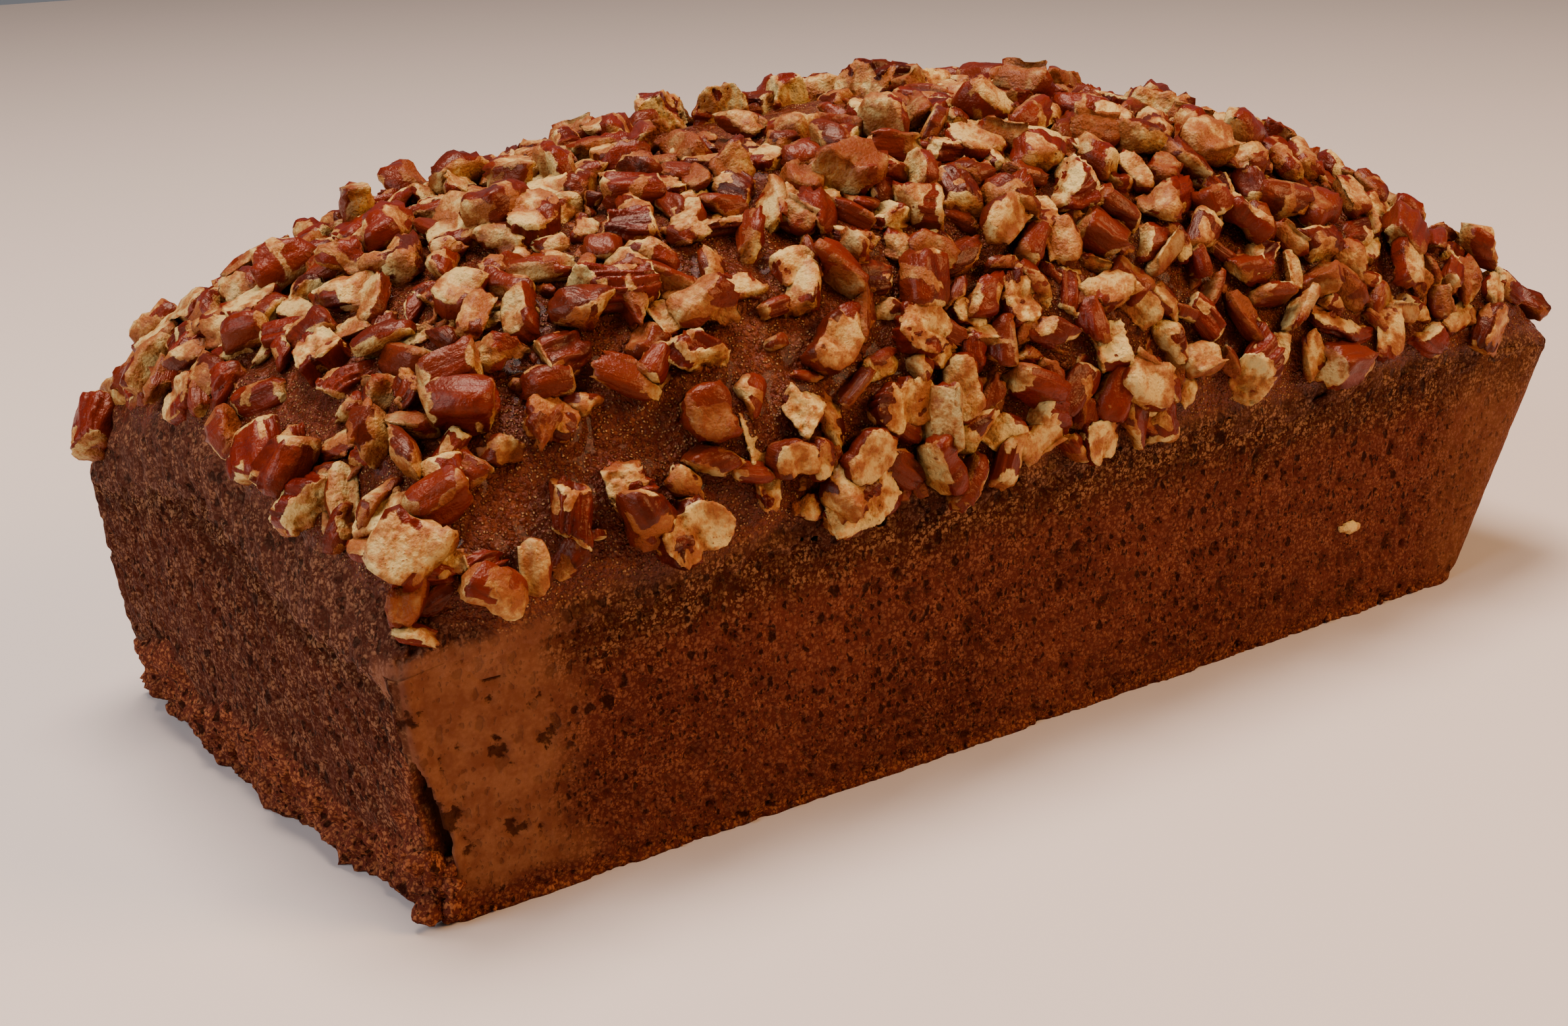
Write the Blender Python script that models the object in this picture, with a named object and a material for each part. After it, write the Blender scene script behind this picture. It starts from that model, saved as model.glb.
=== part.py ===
"""Banana bread: a loaf baked in a tin, with chopped pecans stuck to its domed crust.

Metres, +Z up. The origin is the middle of the base, the loaf's length runs along X, and its near end is at -X.
"""

import math
import random

import bmesh
import bpy
from mathutils import Matrix, Vector, bvhtree, noise

# Base of the loaf, which took the floor of the tin.
BASE_NEAR = -0.1006
BASE_FAR = 0.1070
BASE_FRONT = -0.0511
BASE_BACK = 0.0505

# Rim, where the sides that the tin held meet the crust.
RIM_NEAR = -0.1063
RIM_FAR = 0.1260
RIM_FRONT = -0.0523
RIM_BACK = 0.0520
RIM_HEIGHT = 0.0424
RIM_DROP_NEAR = 0.0056
RIM_DROP_FAR = 0.0022
RIM_BACK_LIFT = 0.0025
RIM_WAVE = 0.0015
RIM_WAVE_PITCH = 0.017
END_ARCH = 0.0095
END_ARCH_PLACE = 0.20
END_ARCH_SPREAD = 0.50
END_BULGE = 0.0034
END_BELLY = 0.0009

# The ends aren't square: their back corners lie this much further towards -X.
NEAR_SKEW = 0.0053
FAR_SKEW = 0.0030

# Upright corners, from the sharp parchment fold at the near front to the round far ones.
CORNER_NEAR_FRONT = 0.0025
CORNER_NEAR_BACK = 0.0050
CORNER_FAR_FRONT = 0.0115
CORNER_FAR_BACK = 0.0120

# Dome of the crust.
CROWN_RISE = 0.0470
DOME_BASE = 0.0400
DOME_BASE_RISE = 0.0020
SHOULDER_SHARPNESS = 0.49
SHOULDER_NEAR = 4.7
SHOULDER_FAR = 3.6
SHOULDER_SQUARENESS = 7.0
FALL_NEAR = 0.28
FALL_FAR = 0.48
FALL_ACROSS = 0.24

# Cells of the loaf's mesh, and heights of the rows up its sides as shares of the rim's height.
CELLS_ALONG = 30
CELLS_ACROSS = 18
WALL_ROWS = (0.12, 0.30, 0.52, 0.76)

# Unevenness of the surface.
CRUST_BUMP = 0.0014
CRUST_BUMP_PITCH = 0.024
SIDE_BUMP = 0.0005
SIDE_BUMP_PITCH = 0.030
TORN_HEIGHT = 0.0130
TORN_DEPTH = 0.0017
TORN_PITCH = 0.011

# Nuts.
NUT_GAP = 0.0003
NUT_SINK = 0.0014
NODE_CLEARANCE = 0.0011
SMALL_NUTS = 165
SMALL_LONGEST = 0.0105
SMALL_SHORTEST = 0.0066
SMALL_SPACING = 0.50
SCATTER_TRIES = 9000
SCATTER_SEED = 11

# The large pecan pieces that show: place along and across the crust (each -1 to 1 from rim to rim),
# length and width in millimetres, heading in degrees on the crust (0 along the loaf, 90 across), way of chopping.
LARGE_PECANS = (
    (-0.87, 0.28, 8.0, 6.0, 25, "ridge"),
    (-0.90, 0.00, 9.0, 4.5, -45, "ridge"),
    (-0.81, -0.17, 8.0, 8.0, -30, "slice"),
    (-0.67, -0.28, 13.0, 6.0, -25, "ridge"),
    (-0.73, -0.33, 12.0, 4.0, -22, "strip"),
    (-0.66, -0.43, 11.0, 4.5, -22, "strip"),
    (-0.81, -0.28, 9.0, 5.0, -16, "tip"),
    (-0.78, -0.45, 7.0, 6.5, 0, "block"),
    (-0.74, -0.58, 9.5, 5.5, 55, "ridge"),
    (-0.64, -0.60, 7.5, 7.0, 0, "tip"),
    (-0.93, -0.38, 12.0, 9.0, -80, "chunk"),
    (-0.89, -0.62, 9.0, 7.0, -50, "block"),
    (-0.88, -0.80, 8.0, 5.0, -45, "tip"),
    (-0.82, -0.86, 8.0, 5.5, -10, "tip"),
    (-0.55, -0.52, 13.0, 7.5, -25, "ridge"),
    (-0.52, -0.70, 11.0, 8.0, -60, "chunk"),
    (-0.48, -0.38, 9.0, 6.0, -25, "ridge"),
    (-0.39, -0.46, 13.0, 6.5, -14, "strip"),
    (-0.40, -0.27, 7.0, 5.5, -20, "strip"),
    (-0.30, -0.08, 9.5, 4.5, -30, "ridge"),
    (-0.49, -0.10, 8.0, 6.5, 0, "slice"),
    (-0.42, -0.60, 9.0, 4.0, -47, "strip"),
    (-0.47, -0.88, 15.5, 5.5, 88, "strip"),
    (-0.41, -0.83, 8.5, 6.5, 50, "block"),
    (-0.70, -0.86, 10.0, 6.0, 70, "ridge"),
    (-0.63, -0.85, 8.0, 6.5, -10, "block"),
    (-0.575, -0.93, 10.0, 8.0, 10, "slice"),
    (-0.28, -0.87, 12.5, 7.0, 0, "slice"),
    (-0.35, -0.97, 14.0, 7.0, 15, "strip"),
    (-0.23, -0.77, 9.0, 8.5, 60, "slice"),
    (-0.27, -0.45, 9.0, 6.0, 0, "slice"),
    (-0.26, -0.56, 10.0, 5.0, -35, "strip"),
    (-0.20, -0.55, 10.5, 6.5, -45, "chunk"),
    (-0.16, -0.42, 8.0, 7.0, 0, "block"),
    (-0.05, -0.38, 8.5, 6.5, 0, "block"),
    (0.06, -0.33, 9.5, 5.0, -15, "strip"),
    (0.065, -0.56, 9.0, 10.0, 0, "chunk"),
    (0.00, -0.61, 8.5, 7.0, 0, "block"),
    (-0.08, -0.75, 10.0, 7.0, 75, "slice"),
    (0.00, -0.75, 10.5, 5.5, 75, "ridge"),
    (0.03, -0.85, 8.5, 8.0, 0, "block"),
    (0.00, -0.97, 8.0, 7.0, 0, "slice"),
    (0.33, -0.74, 11.0, 6.5, 0, "chunk"),
    (0.27, -0.92, 13.0, 9.0, 45, "chunk"),
    (0.42, -0.87, 11.0, 6.0, -15, "strip"),
    (-0.71, 0.22, 9.0, 6.0, 30, "ridge"),
    (-0.57, 0.17, 9.0, 6.0, -20, "strip"),
    (-0.37, 0.25, 12.0, 8.0, 20, "chunk"),
    (-0.20, 0.32, 12.0, 11.0, -10, "chunk"),
    (-0.12, 0.30, 10.0, 9.5, 60, "tip"),
    (-0.02, 0.28, 11.0, 10.0, 0, "chunk"),
    (0.10, 0.22, 14.0, 10.0, 0, "ridge"),
    (0.18, 0.19, 10.0, 9.0, -50, "chunk"),
    (0.36, -0.02, 10.0, 7.0, 0, "slice"),
    (0.46, -0.15, 9.0, 6.0, -30, "ridge"),
)

# Parts of the crust with hardly a nut on them: middle along and across, and half-sizes, all from rim to rim as above.
BARE_PATCHES = (
    (-0.62, -0.80, 0.10, 0.09),
    (-0.76, -0.80, 0.07, 0.10),
    (-0.86, -0.22, 0.05, 0.12),
    (-0.44, -0.73, 0.09, 0.07),
    (-0.10, 0.10, 0.22, 0.16),
    (0.86, -0.45, 0.16, 0.32),
    (0.40, 0.55, 0.14, 0.16),
    (-0.50, 0.70, 0.12, 0.14),
)

# Large pieces on the back of the dome, out of the photograph's sight.
HIDDEN_LARGE = 3
HIDDEN_SEED = 5

PECAN_SKIN = (0.16, 0.035, 0.012)
CRUST_BROWN = (0.13, 0.040, 0.012)


def smooth_step(value):
    value = min(max(value, 0.0), 1.0)
    return value * value * (3.0 - 2.0 * value)


def spread_along(a):
    """Evenly spaced cells in, cells that crowd towards the ends out."""
    return a + 0.10 * (a - math.copysign(abs(a) ** 9, a))


def spread_across(c):
    return c + 0.25 * (c - math.copysign(abs(c) ** 5, c))


def round_corner(x, y, corner_x, corner_y, side_x, side_y, radius):
    """Pulls a point of the square corner on to the quarter circle of the round one."""
    dx = side_x * (x - corner_x) + radius
    dy = side_y * (y - corner_y) + radius
    if dx <= 0.0 or dy <= 0.0:
        return x, y
    pull = max(dx, dy) / math.hypot(dx, dy)
    return corner_x - side_x * radius + side_x * dx * pull, corner_y - side_y * radius + side_y * dy * pull


def plan_point(s, t, lift):
    """Place in plan: s and t run from -1 to 1 along and across, lift from 0 at the base to 1 at the rim."""
    along, across = (1.0 + s) / 2.0, (1.0 + t) / 2.0
    near = BASE_NEAR + (RIM_NEAR - BASE_NEAR) * lift - NEAR_SKEW * across - END_BULGE * (1.0 - t * t) * (1.0 - lift)
    near -= END_BELLY * 4.0 * lift * (1.0 - lift)
    far = BASE_FAR + (RIM_FAR - BASE_FAR) * lift - FAR_SKEW * across
    front = BASE_FRONT + (RIM_FRONT - BASE_FRONT) * lift
    back = BASE_BACK + (RIM_BACK - BASE_BACK) * lift
    x = near + (far - near) * along
    y = front + (back - front) * across
    x, y = round_corner(x, y, near, front, -1, -1, CORNER_NEAR_FRONT)
    x, y = round_corner(x, y, near, back, -1, 1, CORNER_NEAR_BACK)
    x, y = round_corner(x, y, far, front, 1, -1, CORNER_FAR_FRONT)
    return round_corner(x, y, far, back, 1, 1, CORNER_FAR_BACK)


def rim_height(s, t):
    """Height of the sides where they meet the crust: lower at both ends, wavy, arched at the near end."""
    front_side = RIM_HEIGHT - RIM_DROP_NEAR * max(0.0, -s) ** 2.5 - RIM_DROP_FAR * max(0.0, s) ** 8
    back_lift = RIM_BACK_LIFT * (1.0 + t) / 2.0 * max(0.0, -s) ** 2
    wave = RIM_WAVE * noise.noise(Vector((s * 0.116, t * 0.052, 0.0)) / RIM_WAVE_PITCH)
    return front_side + back_lift + wave


def end_arch(s, t):
    """How far the near end's edge arches up."""
    width = math.exp(-(((t - END_ARCH_PLACE) / END_ARCH_SPREAD) ** 2)) * math.sqrt(max(0.0, 1.0 - t * t))
    return END_ARCH * width * max(0.0, -s) ** 6


def crust_height(s, t):
    """Height of the dome: a steep shoulder all round, then a slow rise to the crown."""
    out_along, out_across = abs(s) ** SHOULDER_SQUARENESS, abs(t) ** SHOULDER_SQUARENESS
    edge = max(0.0, out_along + out_across - out_along * out_across) ** (1.0 / SHOULDER_SQUARENESS)
    to_far = smooth_step(s + 0.5)
    shoulder = SHOULDER_NEAR + (SHOULDER_FAR - SHOULDER_NEAR) * to_far
    fall = FALL_NEAR + (FALL_FAR - FALL_NEAR) * to_far
    rise = max(0.0, 1.0 - edge**shoulder) ** SHOULDER_SHARPNESS
    bow = (1.0 - fall * s * s) * (1.0 - FALL_ACROSS * t * t)
    foot = DOME_BASE + DOME_BASE_RISE * (1.0 - s * s)
    foot = rim_height(s, t) * (1.0 - rise) + foot * rise
    return foot + end_arch(s, t) + CROWN_RISE * rise * bow


def crust_point(a, c):
    s, t = spread_along(a), spread_across(c)
    x, y = plan_point(s, t, 1.0)
    return Vector((x, y, crust_height(s, t)))


def crust_frame(a, c):
    """Point of the crust, its direction along the loaf and its outward normal."""
    step = 0.01
    a = min(max(a, -0.985), 0.985)
    c = min(max(c, -0.985), 0.985)
    along = crust_point(a + step, c) - crust_point(a - step, c)
    across = crust_point(a, c + step) - crust_point(a, c - step)
    return crust_point(a, c), along.normalized(), along.cross(across).normalized()


def side_point(a, c, lift):
    s, t = spread_along(a), spread_across(c)
    x, y = plan_point(s, t, lift)
    return Vector((x, y, lift * (rim_height(s, t) + end_arch(s, t))))


def material(name, color, roughness):
    """Principled material with the part's colour."""
    made = bpy.data.materials.new(name)
    made.use_nodes = True
    shader = made.node_tree.nodes["Principled BSDF"]
    shader.inputs["Base Color"].default_value = (*color, 1.0)
    shader.inputs["Roughness"].default_value = roughness
    shader.inputs["Metallic"].default_value = 0.0
    made.diffuse_color = (*color, 1.0)
    return made


def new_object(name, bm, collection, look=None):
    mesh = bpy.data.meshes.new(name)
    bm.to_mesh(mesh)
    bm.free()
    made = bpy.data.objects.new(name, mesh)
    collection.objects.link(made)
    if look:
        mesh.materials.append(look)
    return made


def as_cutter(made):
    made.hide_render = True
    made.display_type = "WIRE"
    return made


def apply_modifiers(made):
    """Turns the object's evaluated shape into its own mesh."""
    graph = bpy.context.evaluated_depsgraph_get()
    mesh = bpy.data.meshes.new_from_object(made.evaluated_get(graph))
    made.modifiers.clear()
    made.data = mesh


def boolean(made, operation, other=None, group=None, solver="EXACT"):
    cut = made.modifiers.new(operation.title(), "BOOLEAN")
    cut.operation = operation
    cut.solver = solver
    if group:
        cut.operand_type = "COLLECTION"
        cut.collection = group
    else:
        cut.object = other
    apply_modifiers(made)


def gridded_cube(lines_along, lines_across, lines_up):
    """A cube from -1 to 1 whose faces are split along the given lines."""
    bm = bmesh.new()
    bmesh.ops.create_cube(bm, size=2.0)
    for direction, lines in ((Vector((1, 0, 0)), lines_along), (Vector((0, 1, 0)), lines_across), (Vector((0, 0, 1)), lines_up)):
        for place in lines:
            everything = bm.verts[:] + bm.edges[:] + bm.faces[:]
            bmesh.ops.bisect_plane(bm, geom=everything, plane_co=direction * place, plane_no=direction)
    return bm


def even_lines(count):
    return [2.0 * n / count - 1.0 for n in range(1, count)]


def torn_back(point, lift):
    """How far the near end's torn foot is drawn in at a height, ragged along its length."""
    height = lift * RIM_HEIGHT
    if height >= TORN_HEIGHT:
        return 0.0
    ragged = 0.65 + 0.6 * noise.noise(Vector((0.0, point.y, height)) / TORN_PITCH)
    return TORN_DEPTH * ragged * (1.0 - height / TORN_HEIGHT)


def loaf_bmesh(offset):
    """The loaf without its nuts. Its surface can be set off outwards by a distance."""
    bm = gridded_cube(even_lines(CELLS_ALONG), even_lines(CELLS_ACROSS), [2.0 * row - 1.0 for row in WALL_ROWS])
    on_crust, on_base, at_near_end = set(), set(), {}
    for vert in bm.verts:
        a, c, w = vert.co
        lift = (w + 1.0) / 2.0
        if w > 0.999:
            on_crust.add(vert)
            vert.co = crust_point(a, c)
        else:
            if w < -0.999:
                on_base.add(vert)
            if a < -0.999:
                at_near_end[vert] = lift
            vert.co = side_point(a, c, lift)
    bmesh.ops.delete(bm, geom=[f for f in bm.faces if all(v in on_base for v in f.verts)], context="FACES")
    bmesh.ops.holes_fill(bm, edges=[e for e in bm.edges if e.is_boundary])
    bmesh.ops.recalc_face_normals(bm, faces=bm.faces)
    bm.normal_update()
    moves = {}
    for vert in bm.verts:
        if vert in on_crust:
            size = CRUST_BUMP * noise.noise(vert.co / CRUST_BUMP_PITCH)
        else:
            size = SIDE_BUMP * noise.noise(vert.co / SIDE_BUMP_PITCH)
        direction = vert.normal.copy()
        if vert in on_base:
            direction.z = 0.0
        moves[vert] = direction * size + vert.normal * offset
    for vert in moves:
        if vert in at_near_end:
            moves[vert] = moves[vert] + Vector((torn_back(vert.co, at_near_end[vert]), 0.0, 0.0))
    for vert, move in moves.items():
        vert.co += move
    bmesh.ops.triangulate(bm, faces=bm.faces)
    return bm


def wedge_cutter(name, centre, size, turn, collection):
    """A slit's shape: a box drawn in to an edge at both ends of its length."""
    bm = bmesh.new()
    bmesh.ops.create_cube(bm, size=1.0)
    bmesh.ops.bisect_plane(
        bm, geom=bm.verts[:] + bm.edges[:] + bm.faces[:], plane_co=(0, 0, 0), plane_no=(0, 0, 1)
    )
    for vert in bm.verts:
        if abs(vert.co.z) > 0.4:
            vert.co.x *= 0.2
            vert.co.y *= 0.35
    bmesh.ops.scale(bm, vec=size, verts=bm.verts)
    bmesh.ops.transform(bm, matrix=Matrix.Translation(centre) @ turn, verts=bm.verts)
    return as_cutter(new_object(name, bm, collection))


def cut_slits(loaf, cutters):
    """The split beside the parchment fold, and the cleft under the nuts in front."""
    upright = Matrix.Rotation(math.radians(-6.0), 4, "X") @ Matrix.Rotation(math.radians(35.0), 4, "Z")
    fold = wedge_cutter("fold_slit", (-0.1005, -0.0492, 0.0165), (0.0070, 0.0020, 0.0210), upright, cutters)
    lying = Matrix.Rotation(math.radians(90.0), 4, "Y")
    cleft_place = crust_point(-0.36, -0.93) + Vector((0.0, 0.001, -0.002))
    cleft = wedge_cutter("front_cleft", cleft_place, (0.0032, 0.0110, 0.0180), lying, cutters)
    for cutter in (fold, cleft):
        boolean(loaf, "DIFFERENCE", other=cutter)


def lobe(bm):
    """Presses the pecan's shallow upper groove and its deeper lower one into a body along X."""
    for vert in bm.verts:
        x, y, z = vert.co
        around = math.degrees(math.atan2(z, y))
        groove = 0.34 * math.exp(-(((around + 90.0) / 26.0) ** 2)) + 0.16 * math.exp(-(((around - 90.0) / 20.0) ** 2))
        vert.co = Vector((x, y * (1.0 - groove), z * (1.0 - groove)))


def half_pecan():
    """Half a pecan along X, from -0.5 to 0.5 each way, with blunt ends."""
    bm = bmesh.new()
    bmesh.ops.create_uvsphere(bm, u_segments=12, v_segments=6, radius=0.5)
    bmesh.ops.rotate(bm, verts=bm.verts, matrix=Matrix.Rotation(math.radians(90.0), 3, "Y"))
    for vert in bm.verts:
        out = 2.0 * abs(vert.co.x)
        if out < 0.98:
            blunt = (1.0 - out**3) ** 0.4 / math.sqrt(1.0 - out * out)
            vert.co.y *= blunt
            vert.co.z *= blunt
    lobe(bm)
    return bm


def pecan_bit():
    """Coarser body for the small pieces: a lobed bar, narrower at one end."""
    bm = bmesh.new()
    bmesh.ops.create_cone(bm, cap_ends=True, segments=6, radius1=0.5, radius2=0.36, depth=0.8)
    bmesh.ops.rotate(bm, verts=bm.verts, matrix=Matrix.Rotation(math.radians(90.0), 3, "Y"))
    lobe(bm)
    return bm


def chop(bm, point, direction):
    """Cuts away what lies beyond the plane, and closes the cut."""
    everything = bm.verts[:] + bm.edges[:] + bm.faces[:]
    cut = bmesh.ops.bisect_plane(
        bm, geom=everything, plane_co=point, plane_no=Vector(direction).normalized(), clear_outer=True
    )
    edges = [piece for piece in cut["geom_cut"] if isinstance(piece, bmesh.types.BMEdge)]
    bmesh.ops.holes_fill(bm, edges=edges)


def chop_planes(form, draw):
    """Planes that a way of chopping cuts along, as points and outward directions on the half pecan."""
    tilt = draw.uniform(-0.25, 0.25)
    lean = draw.uniform(-0.25, 0.25)
    if form == "ridge":
        return [((0.28, 0, 0), (1, tilt, lean)), ((-0.28, 0, 0), (-1, lean, tilt))]
    if form == "slice":
        return [((0.14, 0, 0), (1, tilt * 0.6, lean * 0.6)), ((-0.14, 0, 0), (-1, lean * 0.5, tilt * 0.5))]
    if form == "strip":
        return [((0, 0.08, 0), (0.15 * tilt, 1, 0.5 + lean)), ((0.36, 0, 0), (1, tilt, lean)), ((0, 0, -0.2), (0, lean, -1))]
    if form == "block":
        return [
            ((0.22, 0, 0), (1, tilt, lean)),
            ((-0.22, 0, 0), (-1, lean, 0)),
            ((0, 0.22, 0), (0, 1, tilt)),
            ((0, 0, 0.22), (lean, 0.3, 1)),
        ]
    if form == "tip":
        return [((-0.05, 0, 0), (-1, tilt * 2, lean)), ((0, 0, -0.18), (0, 0, -1))]
    return [((0.2, 0, 0), (1, tilt * 2, 0.4 + lean)), ((-0.24, 0.1, 0), (-1, 0.5 + tilt, lean)), ((0, -0.28, 0), (0.2, -1, 0.2))]


def pecan_bmesh(form, length, width, seed, body):
    """A chopped piece lying on its underside at z = 0, as long and wide as asked, with broken faces where it was cut."""
    draw = random.Random(seed)
    bm = body()
    for point, direction in chop_planes(form, draw):
        chop(bm, point, direction)
    if form == "slice":
        bmesh.ops.rotate(bm, verts=bm.verts, matrix=Matrix.Rotation(math.radians(90.0), 3, "Y"))
        bmesh.ops.rotate(bm, verts=bm.verts, matrix=Matrix.Rotation(math.radians(90.0), 3, "Z"))
    elif form in ("strip", "chunk"):
        bmesh.ops.rotate(bm, verts=bm.verts, matrix=Matrix.Rotation(math.radians(draw.uniform(20.0, 70.0)), 3, "X"))
    elif form == "block":
        bmesh.ops.rotate(bm, verts=bm.verts, matrix=Matrix.Rotation(math.radians(draw.uniform(-30.0, 30.0)), 3, "Y"))
    low = Vector(min(v.co[i] for v in bm.verts) for i in range(3))
    high = Vector(max(v.co[i] for v in bm.verts) for i in range(3))
    height = width * draw.uniform(0.62, 0.82)
    span = high - low
    for vert in bm.verts:
        share = Vector((vert.co[i] - low[i]) / span[i] for i in range(3))
        vert.co = Vector(((share.x - 0.5) * length, (share.y - 0.5) * width, share.z * height))
    return bm


def lying_matrix(a, c, heading, tip):
    """Lays a piece on the crust, turned to its heading and tipped a little."""
    point, along, normal = crust_frame(a, c)
    turn = Matrix((along, normal.cross(along), normal)).transposed().to_4x4()
    turn = turn @ Matrix.Rotation(heading, 4, "Z") @ Matrix.Rotation(tip, 4, "X")
    return Matrix.Translation(point - normal * NUT_SINK) @ turn


def distance_to_piece(point, piece):
    """Distance in space from a point to a piece, taken as a bar with round ends."""
    centre, ahead, half_bar, radius = piece
    along = max(-half_bar, min(half_bar, (point - centre).dot(ahead)))
    return (point - centre - ahead * along).length - radius


def footprint(a, c, length, width, heading):
    matrix = lying_matrix(a, c, heading, 0.0)
    ahead = (matrix.to_3x3() @ Vector((1, 0, 0))).normalized()
    return matrix.translation.copy(), ahead, max(0.0, (length - width) / 2.0), width / 2.0


def hidden_large():
    """Large pieces on the back of the dome, spread by a rule."""
    draw = random.Random(HIDDEN_SEED)
    rows = []
    while len(rows) < HIDDEN_LARGE:
        a, c = draw.uniform(-0.75, 0.75), draw.uniform(0.50, 0.85)
        if all(math.hypot((a - row[0]) * 2.2, c - row[1]) > 0.34 for row in rows) and not is_bare(a, c):
            form = draw.choice(("ridge", "strip", "chunk", "slice"))
            rows.append((a, c, draw.uniform(10, 14), draw.uniform(6, 9), draw.uniform(0, 180), form))
    return rows


def is_bare(a, c):
    return any(((a - x) / half_x) ** 2 + ((c - y) / half_y) ** 2 < 1.0 for x, y, half_x, half_y in BARE_PATCHES)


def part_neighbours(pieces):
    """Where two large pieces would meet, a plane between them parts both."""
    trees = [bvhtree.BVHTree.FromObject(piece, bpy.context.evaluated_depsgraph_get()) for piece in pieces]
    centres = [sum((v.co for v in piece.data.vertices), Vector()) / len(piece.data.vertices) for piece in pieces]
    for i in range(len(pieces)):
        for j in range(i + 1, len(pieces)):
            if (centres[i] - centres[j]).length > 0.020 or not trees[i].overlap(trees[j]):
                continue
            between = (centres[j] - centres[i]).normalized()
            middle = (centres[i] + centres[j]) / 2.0
            for piece, direction in ((pieces[i], between), (pieces[j], -between)):
                bm = bmesh.new()
                bm.from_mesh(piece.data)
                chop(bm, middle - direction * NUT_GAP / 2.0, direction)
                bmesh.ops.triangulate(bm, faces=bm.faces)
                bm.to_mesh(piece.data)
                bm.free()


def build_large(parts, look, gap_body):
    """The pieces as large as berries, each its own solid, lying on the crust with a hair's gap."""
    made = []
    footprints = []
    for number, (a, c, length, width, heading, form) in enumerate(list(LARGE_PECANS) + hidden_large(), 1):
        heading = math.radians(heading)
        bm = pecan_bmesh(form, length / 1000.0, width / 1000.0, number, half_pecan)
        tip = math.radians(random.Random(number).uniform(-10.0, 10.0))
        bmesh.ops.transform(bm, matrix=lying_matrix(a, c, heading, tip), verts=bm.verts)
        bmesh.ops.triangulate(bm, faces=bm.faces)
        piece = new_object(f"pecan_{number:02d}", bm, parts, look)
        footprints.append(footprint(a, c, length / 1000.0, width / 1000.0, heading))
        made.append(piece)
    bpy.context.view_layer.update()
    part_neighbours(made)
    for piece in made:
        boolean(piece, "DIFFERENCE", other=gap_body)
    return footprints


def small_rows(large):
    """Places of the smaller chopped pieces: over all but the bare patches, clear of the large ones, biggest first."""
    draw = random.Random(SCATTER_SEED)
    rows, placed = [], []
    for _ in range(SCATTER_TRIES):
        if len(rows) == SMALL_NUTS:
            break
        a, c = draw.uniform(-0.95, 0.93), draw.uniform(-0.95, 0.95)
        share = len(rows) / SMALL_NUTS
        length = SMALL_LONGEST + (SMALL_SHORTEST - SMALL_LONGEST) * share
        width = length * draw.uniform(0.62, 0.85)
        heading = draw.uniform(0.0, 2.0 * math.pi)
        tip = math.radians(draw.uniform(-14.0, 14.0))
        form = draw.choice(("ridge", "slice", "strip", "chunk", "block", "tip"))
        if is_bare(a, c) or (abs(a) > 0.86 and abs(c) > 0.78):
            continue
        centre, ahead, half_bar, radius = footprint(a, c, length, width, heading)
        if any((centre - other).length < (length + other_length) * SMALL_SPACING for other, other_length in placed):
            continue
        bar = [centre + ahead * half_bar * share for share in (-1.0, 0.0, 1.0)]
        if any(distance_to_piece(point, piece) < radius + NODE_CLEARANCE for point in bar for piece in large):
            continue
        placed.append((centre, length))
        rows.append((a, c, length, width, heading, tip, form))
    return rows


def build_small(collection, rows):
    """The smaller pieces, ready to be fused to the crust."""
    for number, (a, c, length, width, heading, tip, form) in enumerate(rows, 1):
        bm = pecan_bmesh(form, length, width, 1000 + number, pecan_bit)
        bmesh.ops.transform(bm, matrix=lying_matrix(a, c, heading, tip), verts=bm.verts)
        bmesh.ops.triangulate(bm, faces=bm.faces)
        new_object(f"small_{number:03d}", bm, collection)


def clear_scene():
    for made in list(bpy.data.objects):
        bpy.data.objects.remove(made)


def remove_collection(collection):
    for made in list(collection.objects):
        bpy.data.objects.remove(made)
    bpy.data.collections.remove(collection)


def main():
    clear_scene()
    parts = bpy.data.collections.new("banana_bread")
    cutters = bpy.data.collections.new("cutters")
    small = bpy.data.collections.new("small_pecans")
    for collection in (parts, cutters, small):
        bpy.context.scene.collection.children.link(collection)

    crust_look = material("crust", CRUST_BROWN, 0.5)
    pecan_look = material("pecan", PECAN_SKIN, 0.4)

    loaf = new_object("loaf", loaf_bmesh(0.0), parts, crust_look)
    gap_body = as_cutter(new_object("loaf_gap", loaf_bmesh(NUT_GAP), cutters))
    cut_slits(loaf, cutters)
    rows = small_rows(build_large(parts, pecan_look, gap_body))
    build_small(small, rows)
    boolean(loaf, "UNION", group=small)
    remove_collection(small)
    print("small pieces:", len(rows), "loaf triangles:", sum(len(p.vertices) - 2 for p in loaf.data.polygons))


main()
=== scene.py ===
"""Looks of a banana bread topped with chopped pecans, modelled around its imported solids.

Metres, +Z up. The loaf's near end is at -X and its front at -Y, and the middle of its base is the origin.
"""

import math
import random

import bpy
import numpy as np
from mathutils import Matrix, Vector, bvhtree, noise


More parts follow.
